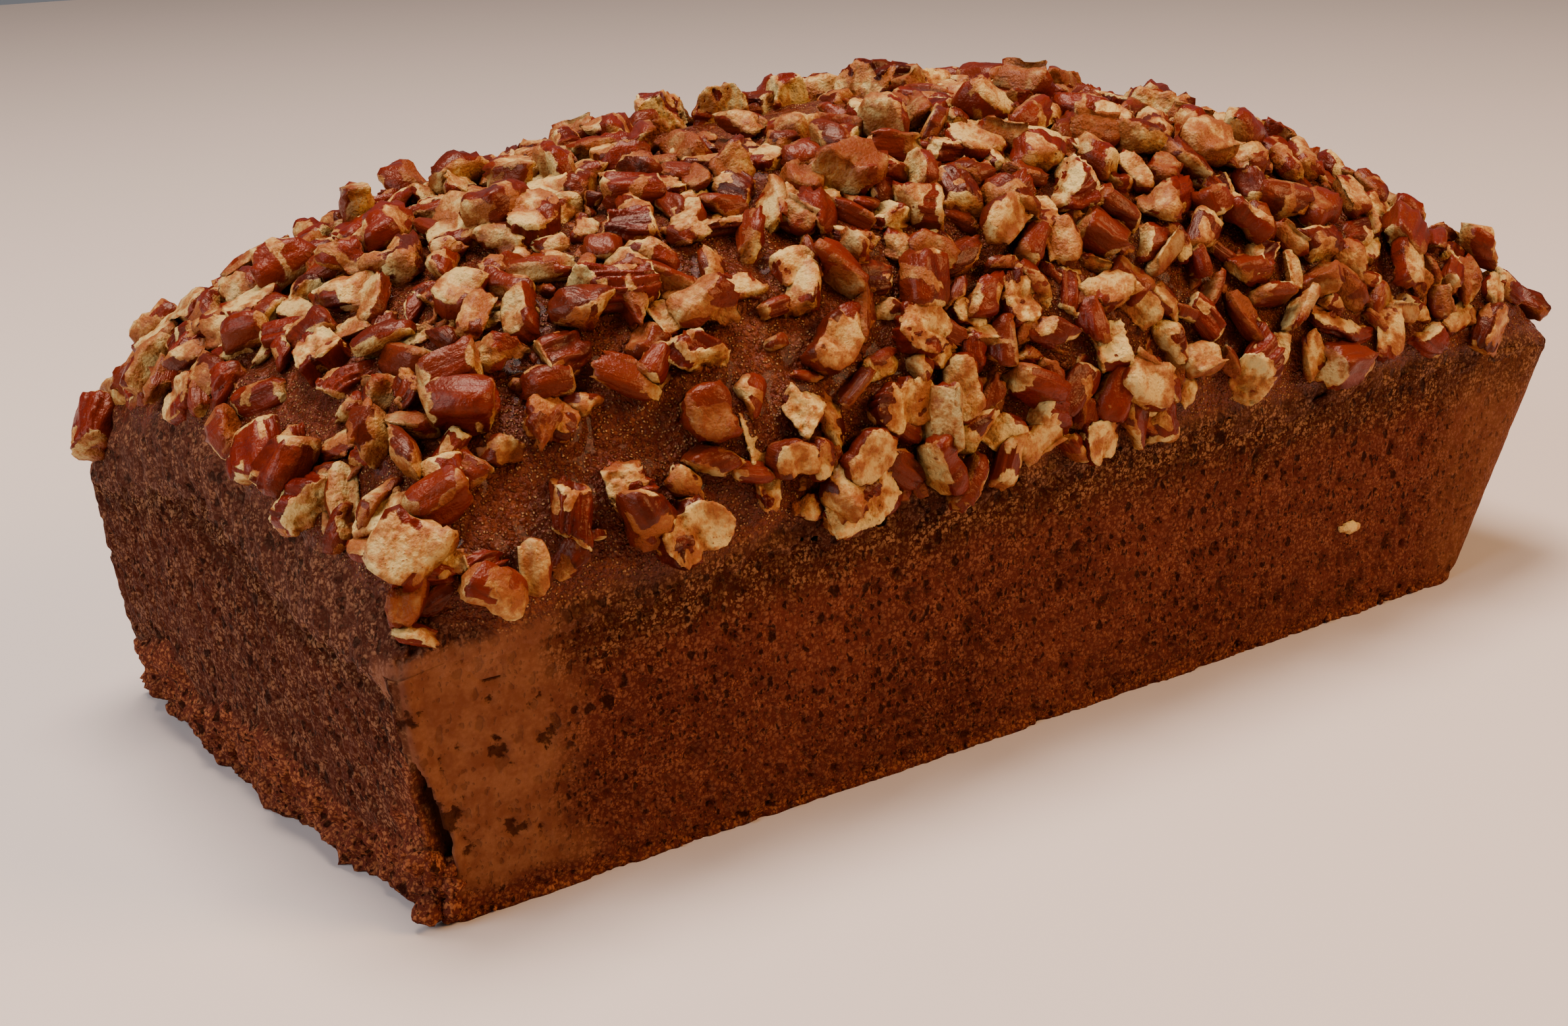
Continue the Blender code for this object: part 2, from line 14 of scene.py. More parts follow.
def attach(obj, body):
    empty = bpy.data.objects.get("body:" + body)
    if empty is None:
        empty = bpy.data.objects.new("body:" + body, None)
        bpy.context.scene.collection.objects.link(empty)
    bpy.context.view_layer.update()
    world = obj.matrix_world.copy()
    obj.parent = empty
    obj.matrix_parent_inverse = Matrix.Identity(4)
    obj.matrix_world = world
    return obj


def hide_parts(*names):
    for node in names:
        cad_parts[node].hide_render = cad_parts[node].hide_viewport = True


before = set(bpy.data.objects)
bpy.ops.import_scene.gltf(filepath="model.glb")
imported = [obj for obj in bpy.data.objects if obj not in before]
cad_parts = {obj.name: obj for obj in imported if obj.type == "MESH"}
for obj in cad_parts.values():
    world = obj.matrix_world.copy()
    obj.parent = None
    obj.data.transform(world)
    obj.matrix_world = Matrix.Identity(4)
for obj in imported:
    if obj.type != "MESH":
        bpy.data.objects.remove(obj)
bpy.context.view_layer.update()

bl_info = {
    "name": "Banana Bread",
    "version": (1, 0, 0),
    "blender": (4, 5, 0),
    "location": "View3D > Sidebar > Banana Bread",
    "description": "Models a banana bread topped with chopped pecans around its solids",
    "category": "Object",
}

# Loaf: base, rim, corners and dome, as the solid has them.
BASE_NEAR, BASE_FAR = -0.1006, 0.1070
BASE_FRONT, BASE_BACK = -0.0511, 0.0505
RIM_NEAR, RIM_FAR = -0.1063, 0.1260
RIM_FRONT, RIM_BACK = -0.0523, 0.0520
RIM_HEIGHT = 0.0424
RIM_DROP_NEAR, RIM_DROP_FAR, RIM_BACK_LIFT = 0.0056, 0.0022, 0.0025
RIM_WAVE, RIM_WAVE_PITCH = 0.0015, 0.017
END_ARCH, END_ARCH_PLACE, END_ARCH_SPREAD = 0.0095, 0.20, 0.50
END_BULGE, END_BELLY = 0.0034, 0.0009
NEAR_SKEW, FAR_SKEW = 0.0053, 0.0030
CORNER_NEAR_FRONT, CORNER_NEAR_BACK = 0.0025, 0.0050
CORNER_FAR_FRONT, CORNER_FAR_BACK = 0.0115, 0.0120
CROWN_RISE, DOME_BASE, DOME_BASE_RISE = 0.0470, 0.0400, 0.0020
SHOULDER_SHARPNESS, SHOULDER_NEAR, SHOULDER_FAR, SHOULDER_SQUARENESS = 0.49, 4.7, 3.6, 7.0
FALL_NEAR, FALL_FAR, FALL_ACROSS = 0.28, 0.48, 0.24
CRUST_BUMP, CRUST_BUMP_PITCH = 0.0014, 0.024
SIDE_BUMP, SIDE_BUMP_PITCH = 0.0005, 0.030
TORN_HEIGHT, TORN_DEPTH, TORN_PITCH = 0.0130, 0.0017, 0.011
SPREAD_ALONG, SPREAD_ACROSS = 0.10, 0.25
FRAME_STEP, FRAME_LIMIT = 0.01, 0.985

# Meshes of the crust and the walls before they are split in four each way.
GRID_ALONG, GRID_ACROSS, GRID_SPLIT = 90, 54, 3
SKIRT_ROWS, SKIRT_STEP = 4, 0.0012
RING_AROUND, RING_ROWS = 304, 19
END_SHARE = 0.1548

# Pores of the crumb: pitch, narrowest and widest radius in pitches, share of them open, and depth.
PORE_SIZES = (
    (0.0040, 0.15, 0.40, 0.70, 0.9),
    (0.0024, 0.20, 0.46, 0.80, 0.7),
    (0.0015, 0.25, 0.50, 0.90, 0.45),
)

# Nuts, as the solids have them.
NUT_SINK, NODE_CLEARANCE, NUT_REACH = 0.0014, 0.0011, 0.006
SMALL_NUTS, SMALL_LONGEST, SMALL_SHORTEST, SMALL_SPACING = 165, 0.0105, 0.0066, 0.50
SCATTER_TRIES, SCATTER_SEED = 9000, 11
HIDDEN_LARGE, HIDDEN_SEED = 3, 5

# Nuts of the scene. Repeated kinds: variants of each form, usual length, voxel, relief, seed of the placing,
# share laid on a side or upside down, and how far a piece may be propped up.
LARGE_VOXEL, LARGE_RELIEF = 0.00037, 1.4
SMALL_KINDS = (4, 0.0085, 0.00050, 1.0, 41, 0.0, 0.0)
FILL_KINDS = (3, 0.0064, 0.00064, 1.0, 43, 0.5, 0.0018)
BIT_KINDS = (2, 0.0030, 0.00050, 0.6, 44, 0.5, 0.0004)
USUAL_WIDTH = 0.74
FILL_SEED, BIT_SEED = 21, 22
BIT_TRIES, BIT_SPACING, BIT_OVERLAP = 60, 0.29, 0.0004
BITS_ON_BARE, BITS_ON_BACK, BACK_START = 0.15, 0.30, 0.40
BITS_AT_FAR_END, FAR_END_START = 0.10, 0.78
PARTING_REACH, PARTING_GAP, CHIP_REACH = 0.020, 0.00015, 0.0011

# Loose crumbs: how many at the near front corner, in the torn foot, along it and along the front.
CRUMB_SEED, CRUMB_FORMS, FINE_CRUMB = 51, 4, 0.0026
CLUMP_CRUMBS, TORN_LUMPS, END_CRUMBS, FRONT_CRUMBS = 15, 64, 90, 34
FLECK_PLACE, FLECK_SIZE = (0.0706, -0.0514, 0.0171), (0.0050, 0.0018, 0.0036)

CAMERA_PLACE = Vector((-0.2063, -0.2841, 0.1455))
CAMERA_YAW, CAMERA_PITCH, CAMERA_ROLL = math.radians(34.47), math.radians(19.46), math.radians(-1.54)
CAMERA_LENS, CAMERA_SENSOR = 49.9, 36.0
FLOOR_RADIUS, FLOOR_DROP = 1.6, 0.05
ROOM_COLOR, ROOM_STRENGTH = (0.90, 0.90, 0.95, 1.0), 0.19

# Lights: name, place, what each points at, size, power and colour.
LIGHTS = (
    ("window", (-0.85, -0.05, 0.50), (0.0, 0.0, 0.04), (0.6, 0.5), 8.5, (0.68, 0.82, 1.0)),
    ("lamp", (0.55, -0.65, 0.60), (0.0, 0.0, 0.03), (0.45, 0.35), 10.4, (1.0, 0.67, 0.34)),
    ("ceiling", (-0.05, 0.15, 1.0), (0.0, 0.0, 0.0), (0.50, 0.40), 17.8, (1.0, 0.92, 0.86)),
)

FORMS = ("ridge", "slice", "strip", "chunk", "block", "tip")

# Large pecans: place along and across the crust (-1 to 1 from rim to rim), length and width in millimetres,
# heading in degrees, way of chopping, and how dark the skin is (0 is light, 1 almost black).
LARGE_PECANS = (
    (-0.87, 0.28, 8.0, 6.0, 25, "ridge", 0.25),
    (-0.90, 0.00, 9.0, 4.5, -45, "ridge", 0.8),
    (-0.81, -0.17, 8.0, 8.0, -30, "slice", 0.41),
    (-0.67, -0.28, 13.0, 6.0, -25, "ridge", 0.75),
    (-0.73, -0.33, 12.0, 4.0, -22, "strip", 0.57),
    (-0.66, -0.43, 11.0, 4.5, -22, "strip", 0.45),
    (-0.81, -0.28, 9.0, 5.0, -16, "tip", 0.33),
    (-0.78, -0.45, 7.0, 6.5, 0, "block", 0.7),
    (-0.74, -0.58, 9.5, 5.5, 55, "ridge", 0.45),
    (-0.64, -0.60, 7.5, 7.0, 0, "tip", 0.95),
    (-0.93, -0.38, 12.0, 9.0, -80, "chunk", 0.25),
    (-0.89, -0.62, 9.0, 7.0, -50, "block", 0.53),
    (-0.88, -0.80, 8.0, 5.0, -45, "tip", 0.2),
    (-0.82, -0.86, 8.0, 5.5, -10, "tip", 0.2),
    (-0.55, -0.52, 13.0, 7.5, -25, "ridge", 0.35),
    (-0.52, -0.70, 11.0, 8.0, -60, "chunk", 0.45),
    (-0.48, -0.38, 9.0, 6.0, -25, "ridge", 0.4),
    (-0.39, -0.46, 13.0, 6.5, -14, "strip", 0.61),
    (-0.40, -0.27, 7.0, 5.5, -20, "strip", 0.49),
    (-0.30, -0.08, 9.5, 4.5, -30, "ridge", 0.7),
    (-0.49, -0.10, 8.0, 6.5, 0, "slice", 0.3),
    (-0.42, -0.60, 9.0, 4.0, -47, "strip", 0.53),
    (-0.47, -0.88, 15.5, 5.5, 88, "strip", 0.41),
    (-0.41, -0.83, 8.5, 6.5, 50, "block", 0.4),
    (-0.70, -0.86, 10.0, 6.0, 70, "ridge", 0.57),
    (-0.63, -0.85, 8.0, 6.5, -10, "block", 0.45),
    (-0.575, -0.93, 10.0, 8.0, 10, "slice", 0.7),
    (-0.28, -0.87, 12.5, 7.0, 0, "slice", 0.61),
    (-0.35, -0.97, 14.0, 7.0, 15, "strip", 0.49),
    (-0.23, -0.77, 9.0, 8.5, 60, "slice", 0.37),
    (-0.27, -0.45, 9.0, 6.0, 0, "slice", 0.25),
    (-0.26, -0.56, 10.0, 5.0, -35, "strip", 0.53),
    (-0.20, -0.55, 10.5, 6.5, -45, "chunk", 0.41),
    (-0.16, -0.42, 8.0, 7.0, 0, "block", 0.29),
    (-0.05, -0.38, 8.5, 6.5, 0, "block", 0.57),
    (0.06, -0.33, 9.5, 5.0, -15, "strip", 0.45),
    (0.065, -0.56, 9.0, 10.0, 0, "chunk", 0.33),
    (0.00, -0.61, 8.5, 7.0, 0, "block", 0.61),
    (-0.08, -0.75, 10.0, 7.0, 75, "slice", 0.49),
    (0.00, -0.75, 10.5, 5.5, 75, "ridge", 0.37),
    (0.03, -0.85, 8.5, 8.0, 0, "block", 0.1),
    (0.00, -0.97, 8.0, 7.0, 0, "slice", 0.53),
    (0.33, -0.74, 11.0, 6.5, 0, "chunk", 0.41),
    (0.27, -0.92, 13.0, 9.0, 45, "chunk", 0.29),
    (0.42, -0.87, 11.0, 6.0, -15, "strip", 0.57),
    (-0.71, 0.22, 9.0, 6.0, 30, "ridge", 0.45),
    (-0.57, 0.17, 9.0, 6.0, -20, "strip", 0.33),
    (-0.37, 0.25, 12.0, 8.0, 20, "chunk", 0.61),
    (-0.20, 0.32, 12.0, 11.0, -10, "chunk", 0.49),
    (-0.12, 0.30, 10.0, 9.5, 60, "tip", 0.37),
    (-0.02, 0.28, 11.0, 10.0, 0, "chunk", 0.25),
    (0.10, 0.22, 14.0, 10.0, 0, "ridge", 0.75),
    (0.18, 0.19, 10.0, 9.0, -50, "chunk", 0.41),
    (0.36, -0.02, 10.0, 7.0, 0, "slice", 0.29),
    (0.46, -0.15, 9.0, 6.0, -30, "ridge", 0.6),
)

# Parts of the crust with hardly a nut on them: middle along and across, and half-sizes.
BARE_PATCHES = (
    (-0.62, -0.80, 0.10, 0.09),
    (-0.76, -0.80, 0.07, 0.10),
    (-0.86, -0.22, 0.05, 0.12),
    (-0.44, -0.73, 0.09, 0.07),
    (-0.10, 0.10, 0.22, 0.16),
    (0.86, -0.45, 0.16, 0.32),
    (0.40, 0.55, 0.14, 0.16),
    (-0.50, 0.70, 0.12, 0.14),
)

# The split down the near front corner, beside a fold: points on its line, and its half-width at each.
FOLD_LINE = (
    (-0.1064, -0.0521, 0.0370, 0.0002),
    (-0.1060, -0.0519, 0.0335, 0.0003),
    (-0.1058, -0.0517, 0.0280, 0.0005),
    (-0.1044, -0.0517, 0.0230, 0.0010),
    (-0.1030, -0.0516, 0.0180, 0.0015),
    (-0.1017, -0.0515, 0.0128, 0.0015),
    (-0.1007, -0.0512, 0.0080, 0.0007),
)
SPLIT_SHIFT, LIP_SHIFT = (0.0026, 0.0022, 0.0), (-0.0005, -0.0006, 0.0)
CLEFT_PLACE, CLEFT_HALF, CLEFT_DEPTH = (-0.36, -0.93), 0.0080, 0.0028

# Pitches of the noise that makes edges ragged, and crust and crumb patchy, and the seed of what wanders.
RAGGED_CRUST, RAGGED_CRUMB, PATCHY = 0.0048, 0.0045, 0.013
WANDER_SEED = 7


def smooth_step(value):
    value = min(max(value, 0.0), 1.0)
    return value * value * (3.0 - 2.0 * value)


def soft(values, low, high):
    """Rises smoothly from 0 at low to 1 at high, for a whole array."""
    share = np.clip((values - low) / (high - low), 0.0, 1.0)
    return share * share * (3.0 - 2.0 * share)


def spread_along(a):
    return a + SPREAD_ALONG * (a - math.copysign(abs(a) ** 9, a))


def spread_across(c):
    return c + SPREAD_ACROSS * (c - math.copysign(abs(c) ** 5, c))


def round_corner(x, y, corner_x, corner_y, side_x, side_y, radius):
    """Pulls a point of the square corner on to the quarter circle of the round one."""
    dx = side_x * (x - corner_x) + radius
    dy = side_y * (y - corner_y) + radius
    if dx <= 0.0 or dy <= 0.0:
        return x, y
    pull = max(dx, dy) / math.hypot(dx, dy)
    return corner_x + side_x * (dx * pull - radius), corner_y + side_y * (dy * pull - radius)


def plan_point(s, t, lift):
    """Place in plan: s and t run from -1 to 1 along and across, lift from 0 at the base to 1 at the rim."""
    along, across = (1.0 + s) / 2.0, (1.0 + t) / 2.0
    near = BASE_NEAR + (RIM_NEAR - BASE_NEAR) * lift - NEAR_SKEW * across
    near -= END_BULGE * (1.0 - t * t) * (1.0 - lift) + END_BELLY * 4.0 * lift * (1.0 - lift)
    far = BASE_FAR + (RIM_FAR - BASE_FAR) * lift - FAR_SKEW * across
    front = BASE_FRONT + (RIM_FRONT - BASE_FRONT) * lift
    back = BASE_BACK + (RIM_BACK - BASE_BACK) * lift
    x = near + (far - near) * along
    y = front + (back - front) * across
    x, y = round_corner(x, y, near, front, -1, -1, CORNER_NEAR_FRONT)
    x, y = round_corner(x, y, near, back, -1, 1, CORNER_NEAR_BACK)
    x, y = round_corner(x, y, far, front, 1, -1, CORNER_FAR_FRONT)
    return round_corner(x, y, far, back, 1, 1, CORNER_FAR_BACK)


def rim_height(s, t):
    """Height of the sides where they meet the crust: lower at both ends and wavy."""
    front_side = RIM_HEIGHT - RIM_DROP_NEAR * max(0.0, -s) ** 2.5 - RIM_DROP_FAR * max(0.0, s) ** 8
    back_lift = RIM_BACK_LIFT * (1.0 + t) / 2.0 * max(0.0, -s) ** 2
    wave = RIM_WAVE * noise.noise(Vector((s * 0.116, t * 0.052, 0.0)) / RIM_WAVE_PITCH)
    return front_side + back_lift + wave


def end_arch(s, t):
    """How far the near end's edge arches up."""
    width = math.exp(-(((t - END_ARCH_PLACE) / END_ARCH_SPREAD) ** 2)) * math.sqrt(max(0.0, 1.0 - t * t))
    return END_ARCH * width * max(0.0, -s) ** 6


def crust_height(s, t):
    """Height of the dome: a steep shoulder all round, then a slow rise to the crown."""
    out_along, out_across = abs(s) ** SHOULDER_SQUARENESS, abs(t) ** SHOULDER_SQUARENESS
    edge = max(0.0, out_along + out_across - out_along * out_across) ** (1.0 / SHOULDER_SQUARENESS)
    to_far = smooth_step(s + 0.5)
    shoulder = SHOULDER_NEAR + (SHOULDER_FAR - SHOULDER_NEAR) * to_far
    fall = FALL_NEAR + (FALL_FAR - FALL_NEAR) * to_far
    rise = max(0.0, 1.0 - edge**shoulder) ** SHOULDER_SHARPNESS
    bow = (1.0 - fall * s * s) * (1.0 - FALL_ACROSS * t * t)
    foot = DOME_BASE + DOME_BASE_RISE * (1.0 - s * s)
    foot = rim_height(s, t) * (1.0 - rise) + foot * rise
    return foot + end_arch(s, t) + CROWN_RISE * rise * bow


def crust_point(a, c):
    s, t = spread_along(a), spread_across(c)
    x, y = plan_point(s, t, 1.0)
    return Vector((x, y, crust_height(s, t)))


def crust_frame(a, c):
    """Point of the crust, its direction along the loaf and its outward normal."""
    a, c = (min(max(value, -FRAME_LIMIT), FRAME_LIMIT) for value in (a, c))
    along = crust_point(a + FRAME_STEP, c) - crust_point(a - FRAME_STEP, c)
    across = crust_point(a, c + FRAME_STEP) - crust_point(a, c - FRAME_STEP)
    return crust_point(a, c), along.normalized(), along.cross(across).normalized()


def wall_point(s, t, lift):
    x, y = plan_point(s, t, lift)
    return Vector((x, y, lift * (rim_height(s, t) + end_arch(s, t))))


# Placing nuts

def lying_matrix(a, c, heading, tip):
    """Lays a piece on the crust, turned to its heading and tipped a little."""
    point, along, normal = crust_frame(a, c)
    turn = Matrix((along, normal.cross(along), normal)).transposed().to_4x4()
    turn = turn @ Matrix.Rotation(heading, 4, "Z") @ Matrix.Rotation(tip, 4, "X")
    return Matrix.Translation(point - normal * NUT_SINK) @ turn


def distance_to_piece(point, piece):
    centre, ahead, half_bar, radius = piece
    along = max(-half_bar, min(half_bar, (point - centre).dot(ahead)))
    return (point - centre - ahead * along).length - radius


def footprint(a, c, length, width, heading):
    matrix = lying_matrix(a, c, heading, 0.0)
    ahead = (matrix.to_3x3() @ Vector((1, 0, 0))).normalized()
    return matrix.translation.copy(), ahead, max(0.0, (length - width) / 2.0), width / 2.0


def footprints(rows):
    return [footprint(*row[:5]) for row in rows]


def is_bare(a, c):
    return any(math.hypot((a - x) / half_x, (c - y) / half_y) < 1.0 for x, y, half_x, half_y in BARE_PATCHES)


def hidden_large():
    """Large pieces on the back of the dome, spread by a rule."""
    draw = random.Random(HIDDEN_SEED)
    rows = []
    while len(rows) < HIDDEN_LARGE:
        a, c = draw.uniform(-0.75, 0.75), draw.uniform(0.50, 0.85)
        if all(math.hypot((a - row[0]) * 2.2, c - row[1]) > 0.34 for row in rows) and not is_bare(a, c):
            form = draw.choice(("ridge", "strip", "chunk", "slice"))
            rows.append((a, c, draw.uniform(10, 14), draw.uniform(6, 9), draw.uniform(0, 180), form, 0.4))
    return rows


def large_rows():
    """Rows of the large pieces: along, across, length, width, heading, tip, form, darkness."""
    rows = []
    for number, (a, c, length, width, heading, form, dark) in enumerate([*LARGE_PECANS, *hidden_large()], 1):
        tip = math.radians(random.Random(number).uniform(-10.0, 10.0))
        rows.append((a, c, length / 1000.0, width / 1000.0, math.radians(heading), tip, form, dark))
    return rows


def small_rows(large):
    """Places of the smaller pieces: over all but the bare patches, clear of the large ones, biggest first."""
    draw = random.Random(SCATTER_SEED)
    rows, placed = [], []
    for _ in range(SCATTER_TRIES):
        if len(rows) == SMALL_NUTS:
            break
        a, c = draw.uniform(-0.95, 0.93), draw.uniform(-0.95, 0.95)
        length = SMALL_LONGEST + (SMALL_SHORTEST - SMALL_LONGEST) * (len(rows) / SMALL_NUTS)
        width = length * draw.uniform(0.62, 0.85)
        heading = draw.uniform(0.0, 2.0 * math.pi)
        tip = math.radians(draw.uniform(-14.0, 14.0))
        form = draw.choice(FORMS)
        if is_bare(a, c) or (abs(a) > 0.86 and abs(c) > 0.78):
            continue
        centre, ahead, half_bar, radius = footprint(a, c, length, width, heading)
        if any((centre - other).length < (length + longer) * SMALL_SPACING for other, longer in placed):
            continue
        bar = [centre + ahead * half_bar * share for share in (-1.0, 0.0, 1.0)]
        if any(distance_to_piece(point, nut) < radius + NODE_CLEARANCE for point in bar for nut in large):
            continue
        placed.append((centre, length))
        rows.append((a, c, length, width, heading, tip, form))
    return rows


def bit_rows(count, seed, shortest, longest, on_bare, taken):
    """Places of the finer bits, in the gaps that the other pieces leave, biggest first."""
    draw = random.Random(seed)
    rows, placed = [], []
    for _ in range(count * BIT_TRIES):
        if len(rows) == count:
            break
        a, c = draw.uniform(-0.93, 0.93), draw.uniform(-0.92, 0.95)
        if draw.random() < 0.10:
            a, c = draw.uniform(-0.42, 0.12), draw.uniform(-0.98, -0.88)
        length = longest + (shortest - longest) * len(rows) / count
        width = length * draw.uniform(0.50, 0.90)
        heading = draw.uniform(0.0, 2.0 * math.pi)
        tip = math.radians(draw.uniform(-32.0, 32.0))
        form = draw.choice(FORMS)
        chance = draw.random()
        if (1.0 - abs(spread_along(a))) * RIM_FAR < 0.42 * length:
            continue
        wanted = BITS_AT_FAR_END if a > FAR_END_START else 1.0
        if is_bare(a, c):
            wanted = on_bare if c < BACK_START else BITS_ON_BACK
        if chance > wanted:
            continue
        spot = crust_point(a, c)
        if any((spot - other).length < (length + longer) * BIT_SPACING for other, longer in placed):
            continue
        if min(distance_to_piece(spot, nut) for nut in taken) < -BIT_OVERLAP:
            continue
        placed.append((spot, length))
        rows.append((a, c, length, width, heading, tip, form))
    return rows


# Mesh helpers

def deselect():
    if bpy.context.object and bpy.context.object.mode != "OBJECT":
        bpy.ops.object.mode_set(mode="OBJECT")
    bpy.ops.object.select_all(action="DESELECT")


def activate(made):
    deselect()
    made.select_set(True)
    bpy.context.view_layer.objects.active = made


def read_points(mesh):
    points = np.empty(len(mesh.vertices) * 3)
    mesh.vertices.foreach_get("co", points)
    return points.reshape(-1, 3)


def write_points(mesh, points):
    mesh.vertices.foreach_set("co", np.ascontiguousarray(points, dtype=np.float64).ravel())
    mesh.update()


def read_normals(mesh):
    mesh.update()
    normals = np.empty(len(mesh.vertices) * 3)
    mesh.vertices.foreach_get("normal", normals)
    return normals.reshape(-1, 3)


def write_mask(mesh, name, values):
    layer = mesh.attributes.get(name) or mesh.attributes.new(name, "FLOAT", "POINT")
    values = np.broadcast_to(values, len(mesh.vertices))
    layer.data.foreach_set("value", np.ascontiguousarray(values, dtype=np.float32))


def write_masks(mesh, **masks):
    for name, values in masks.items():
        write_mask(mesh, name, values)


def noise_at(points, pitch, shift=0.0):
    """Smooth noise between -1 and 1 at each point, with bumps about one pitch wide."""
    return np.array([noise.noise((x / pitch + shift, y / pitch, z / pitch - shift)) for x, y, z in points])


def pits_at(points, pitch, smallest, widest, share, shift=0.0):
    """Round hollows about one pitch apart, a share of them open: 0 outside, 1 at the bottom."""
    depth = np.zeros(len(points))
    for n, (x, y, z) in enumerate(points):
        gaps, spots = noise.voronoi((x / pitch + shift, y / pitch, z / pitch))
        pick = math.sin(spots[0].dot((12.9898, 78.233, 37.719))) * 43758.5453 % 1.0
        if pick < share:
            radius = smallest + (widest - smallest) * pick / share
            depth[n] = math.sqrt(max(0.0, 1.0 - (gaps[0] / radius) ** 2))
    return depth


def wander(points, pitch, size):
    """Points pushed about by smooth noise, so that what is drawn from them turns out uneven."""
    noise.seed_set(WANDER_SEED)
    pushed = [noise.noise_vector((x / pitch, y / pitch, z / pitch)) for x, y, z in points]
    return points + size * np.array(pushed)


def finish_piece(made, name, scene, look, *replaced):
    """Names a piece, gives it its material, and ties it to the frame."""
    made.name = made.data.name = name
    made.data.materials.clear()
    made.data.materials.append(look_named(look, scene))
    for face in made.data.polygons:
        face.use_smooth = True
    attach(made, "root")
    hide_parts(*replaced)


def finish_nuts(pieces, name, scene):
    finish_piece(join(pieces), name, scene, "glazed_pecan", "loaf")


# The loaf

def crust_grid():
    """A sheet over the crust with a skirt extruded down its edge, split finely and closed below."""
    deselect()
    bpy.ops.mesh.primitive_grid_add(x_subdivisions=GRID_ALONG, y_subdivisions=GRID_ACROSS, size=2.0)
    bpy.ops.object.mode_set(mode="EDIT")
    bpy.ops.mesh.select_mode(type="EDGE")
    bpy.ops.mesh.select_all(action="SELECT")
    bpy.ops.mesh.region_to_loop()
    return drop_and_close(SKIRT_ROWS)


def wall_grid():
    """A ring extruded down the walls, split finely and closed above and below."""
    deselect()
    bpy.ops.mesh.primitive_circle_add(vertices=RING_AROUND, radius=1.0)
    bpy.ops.object.mode_set(mode="EDIT")
    bpy.ops.mesh.select_mode(type="EDGE")
    bpy.ops.mesh.select_all(action="SELECT")
    return drop_and_close(RING_ROWS)


def drop_and_close(rows):
    """Extrudes the selected loop down one unit a row, splits the mesh finely and closes its openings."""
    for _ in range(rows):
        bpy.ops.mesh.extrude_edges_move(TRANSFORM_OT_translate={"value": (0.0, 0.0, -1.0)})
    bpy.ops.mesh.select_all(action="SELECT")
    bpy.ops.mesh.subdivide(number_cuts=GRID_SPLIT)
    bpy.ops.mesh.select_all(action="SELECT")
    bpy.ops.mesh.fill_holes(sides=0)
    bpy.ops.mesh.select_all(action="SELECT")
    bpy.ops.mesh.normals_make_consistent(inside=False)
    bpy.ops.object.mode_set(mode="OBJECT")
    return bpy.context.object


def torn_back(points):
    """How far the near end's torn foot is drawn in."""
    height = points[:, 2]
    foot = np.column_stack((np.zeros(len(points)), points[:, 1], height))
    ragged = 0.65 + 0.6 * noise_at(foot, TORN_PITCH)
    return TORN_DEPTH * ragged * np.clip(1.0 - height / TORN_HEIGHT, 0.0, 1.0)


def nut_distances(points, pieces):
    """Distance from each point to the nearest nut's foot."""
    nearest = np.full(len(points), 1.0)
    for centre, ahead, half_bar, radius in pieces:
        centre, ahead = np.array(centre), np.array(ahead)
        away = points - centre
        near = np.flatnonzero((np.abs(away) < half_bar + radius + NUT_REACH).all(axis=1))
        if len(near) == 0:
            continue
        along = np.clip(away[near] @ ahead, -half_bar, half_bar)
        gap = np.linalg.norm(away[near] - along[:, None] * ahead, axis=1) - radius
        nearest[near] = np.minimum(nearest[near], gap)
    return nearest


def line_distance(points, line):
    """How far each point is from a bent line, over its half-width there, and the way from the line to it."""
    best, offset = np.full(len(points), 1e3), np.zeros((len(points), 3))
    for start, end in zip(line, line[1:]):
        low, run = np.array(start[:3]), np.array(end[:3]) - np.array(start[:3])
        share = np.clip((points - low) @ run / (run @ run), 0.0, 1.0)
        away = points - low - share[:, None] * run
        gap = np.linalg.norm(away, axis=1) / (start[3] + (end[3] - start[3]) * share)
        closer = gap < best
        best[closer], offset[closer] = gap[closer], away[closer]
    return best, offset


def cleft_at(points):
    """The cleft under the nuts in front: 1 at its middle, 0 outside."""
    spot = crust_point(*CLEFT_PLACE) + Vector((0.0, 0.001, -0.002))
    steps = ((-1, 0.0004), (0, 0.0017), (1, 0.0005))
    line = [(spot.x + step * CLEFT_HALF, spot.y, spot.z + 0.0012 * step, width) for step, width in steps]
    return np.clip(1.2 - line_distance(points, line)[0], 0.0, 1.0)


def crumb_at(points):
    """Open crumb: how deep its pores go, from 0 to 1, and how high its grains stand."""
    uneven = wander(points, 0.0022, 0.00055)
    pore = pits_at(uneven, 0.0065, 0.10, 0.28, 0.40)
    for pitch, smallest, widest, chance, size in PORE_SIZES:
        pore = np.maximum(pore, size * pits_at(uneven, pitch, smallest, widest, chance, pitch * 1e4))
    return pore, 0.00022 * noise_at(points, 0.0013, 4.0) + 0.00028 * noise_at(points, 0.0034, 6.0)


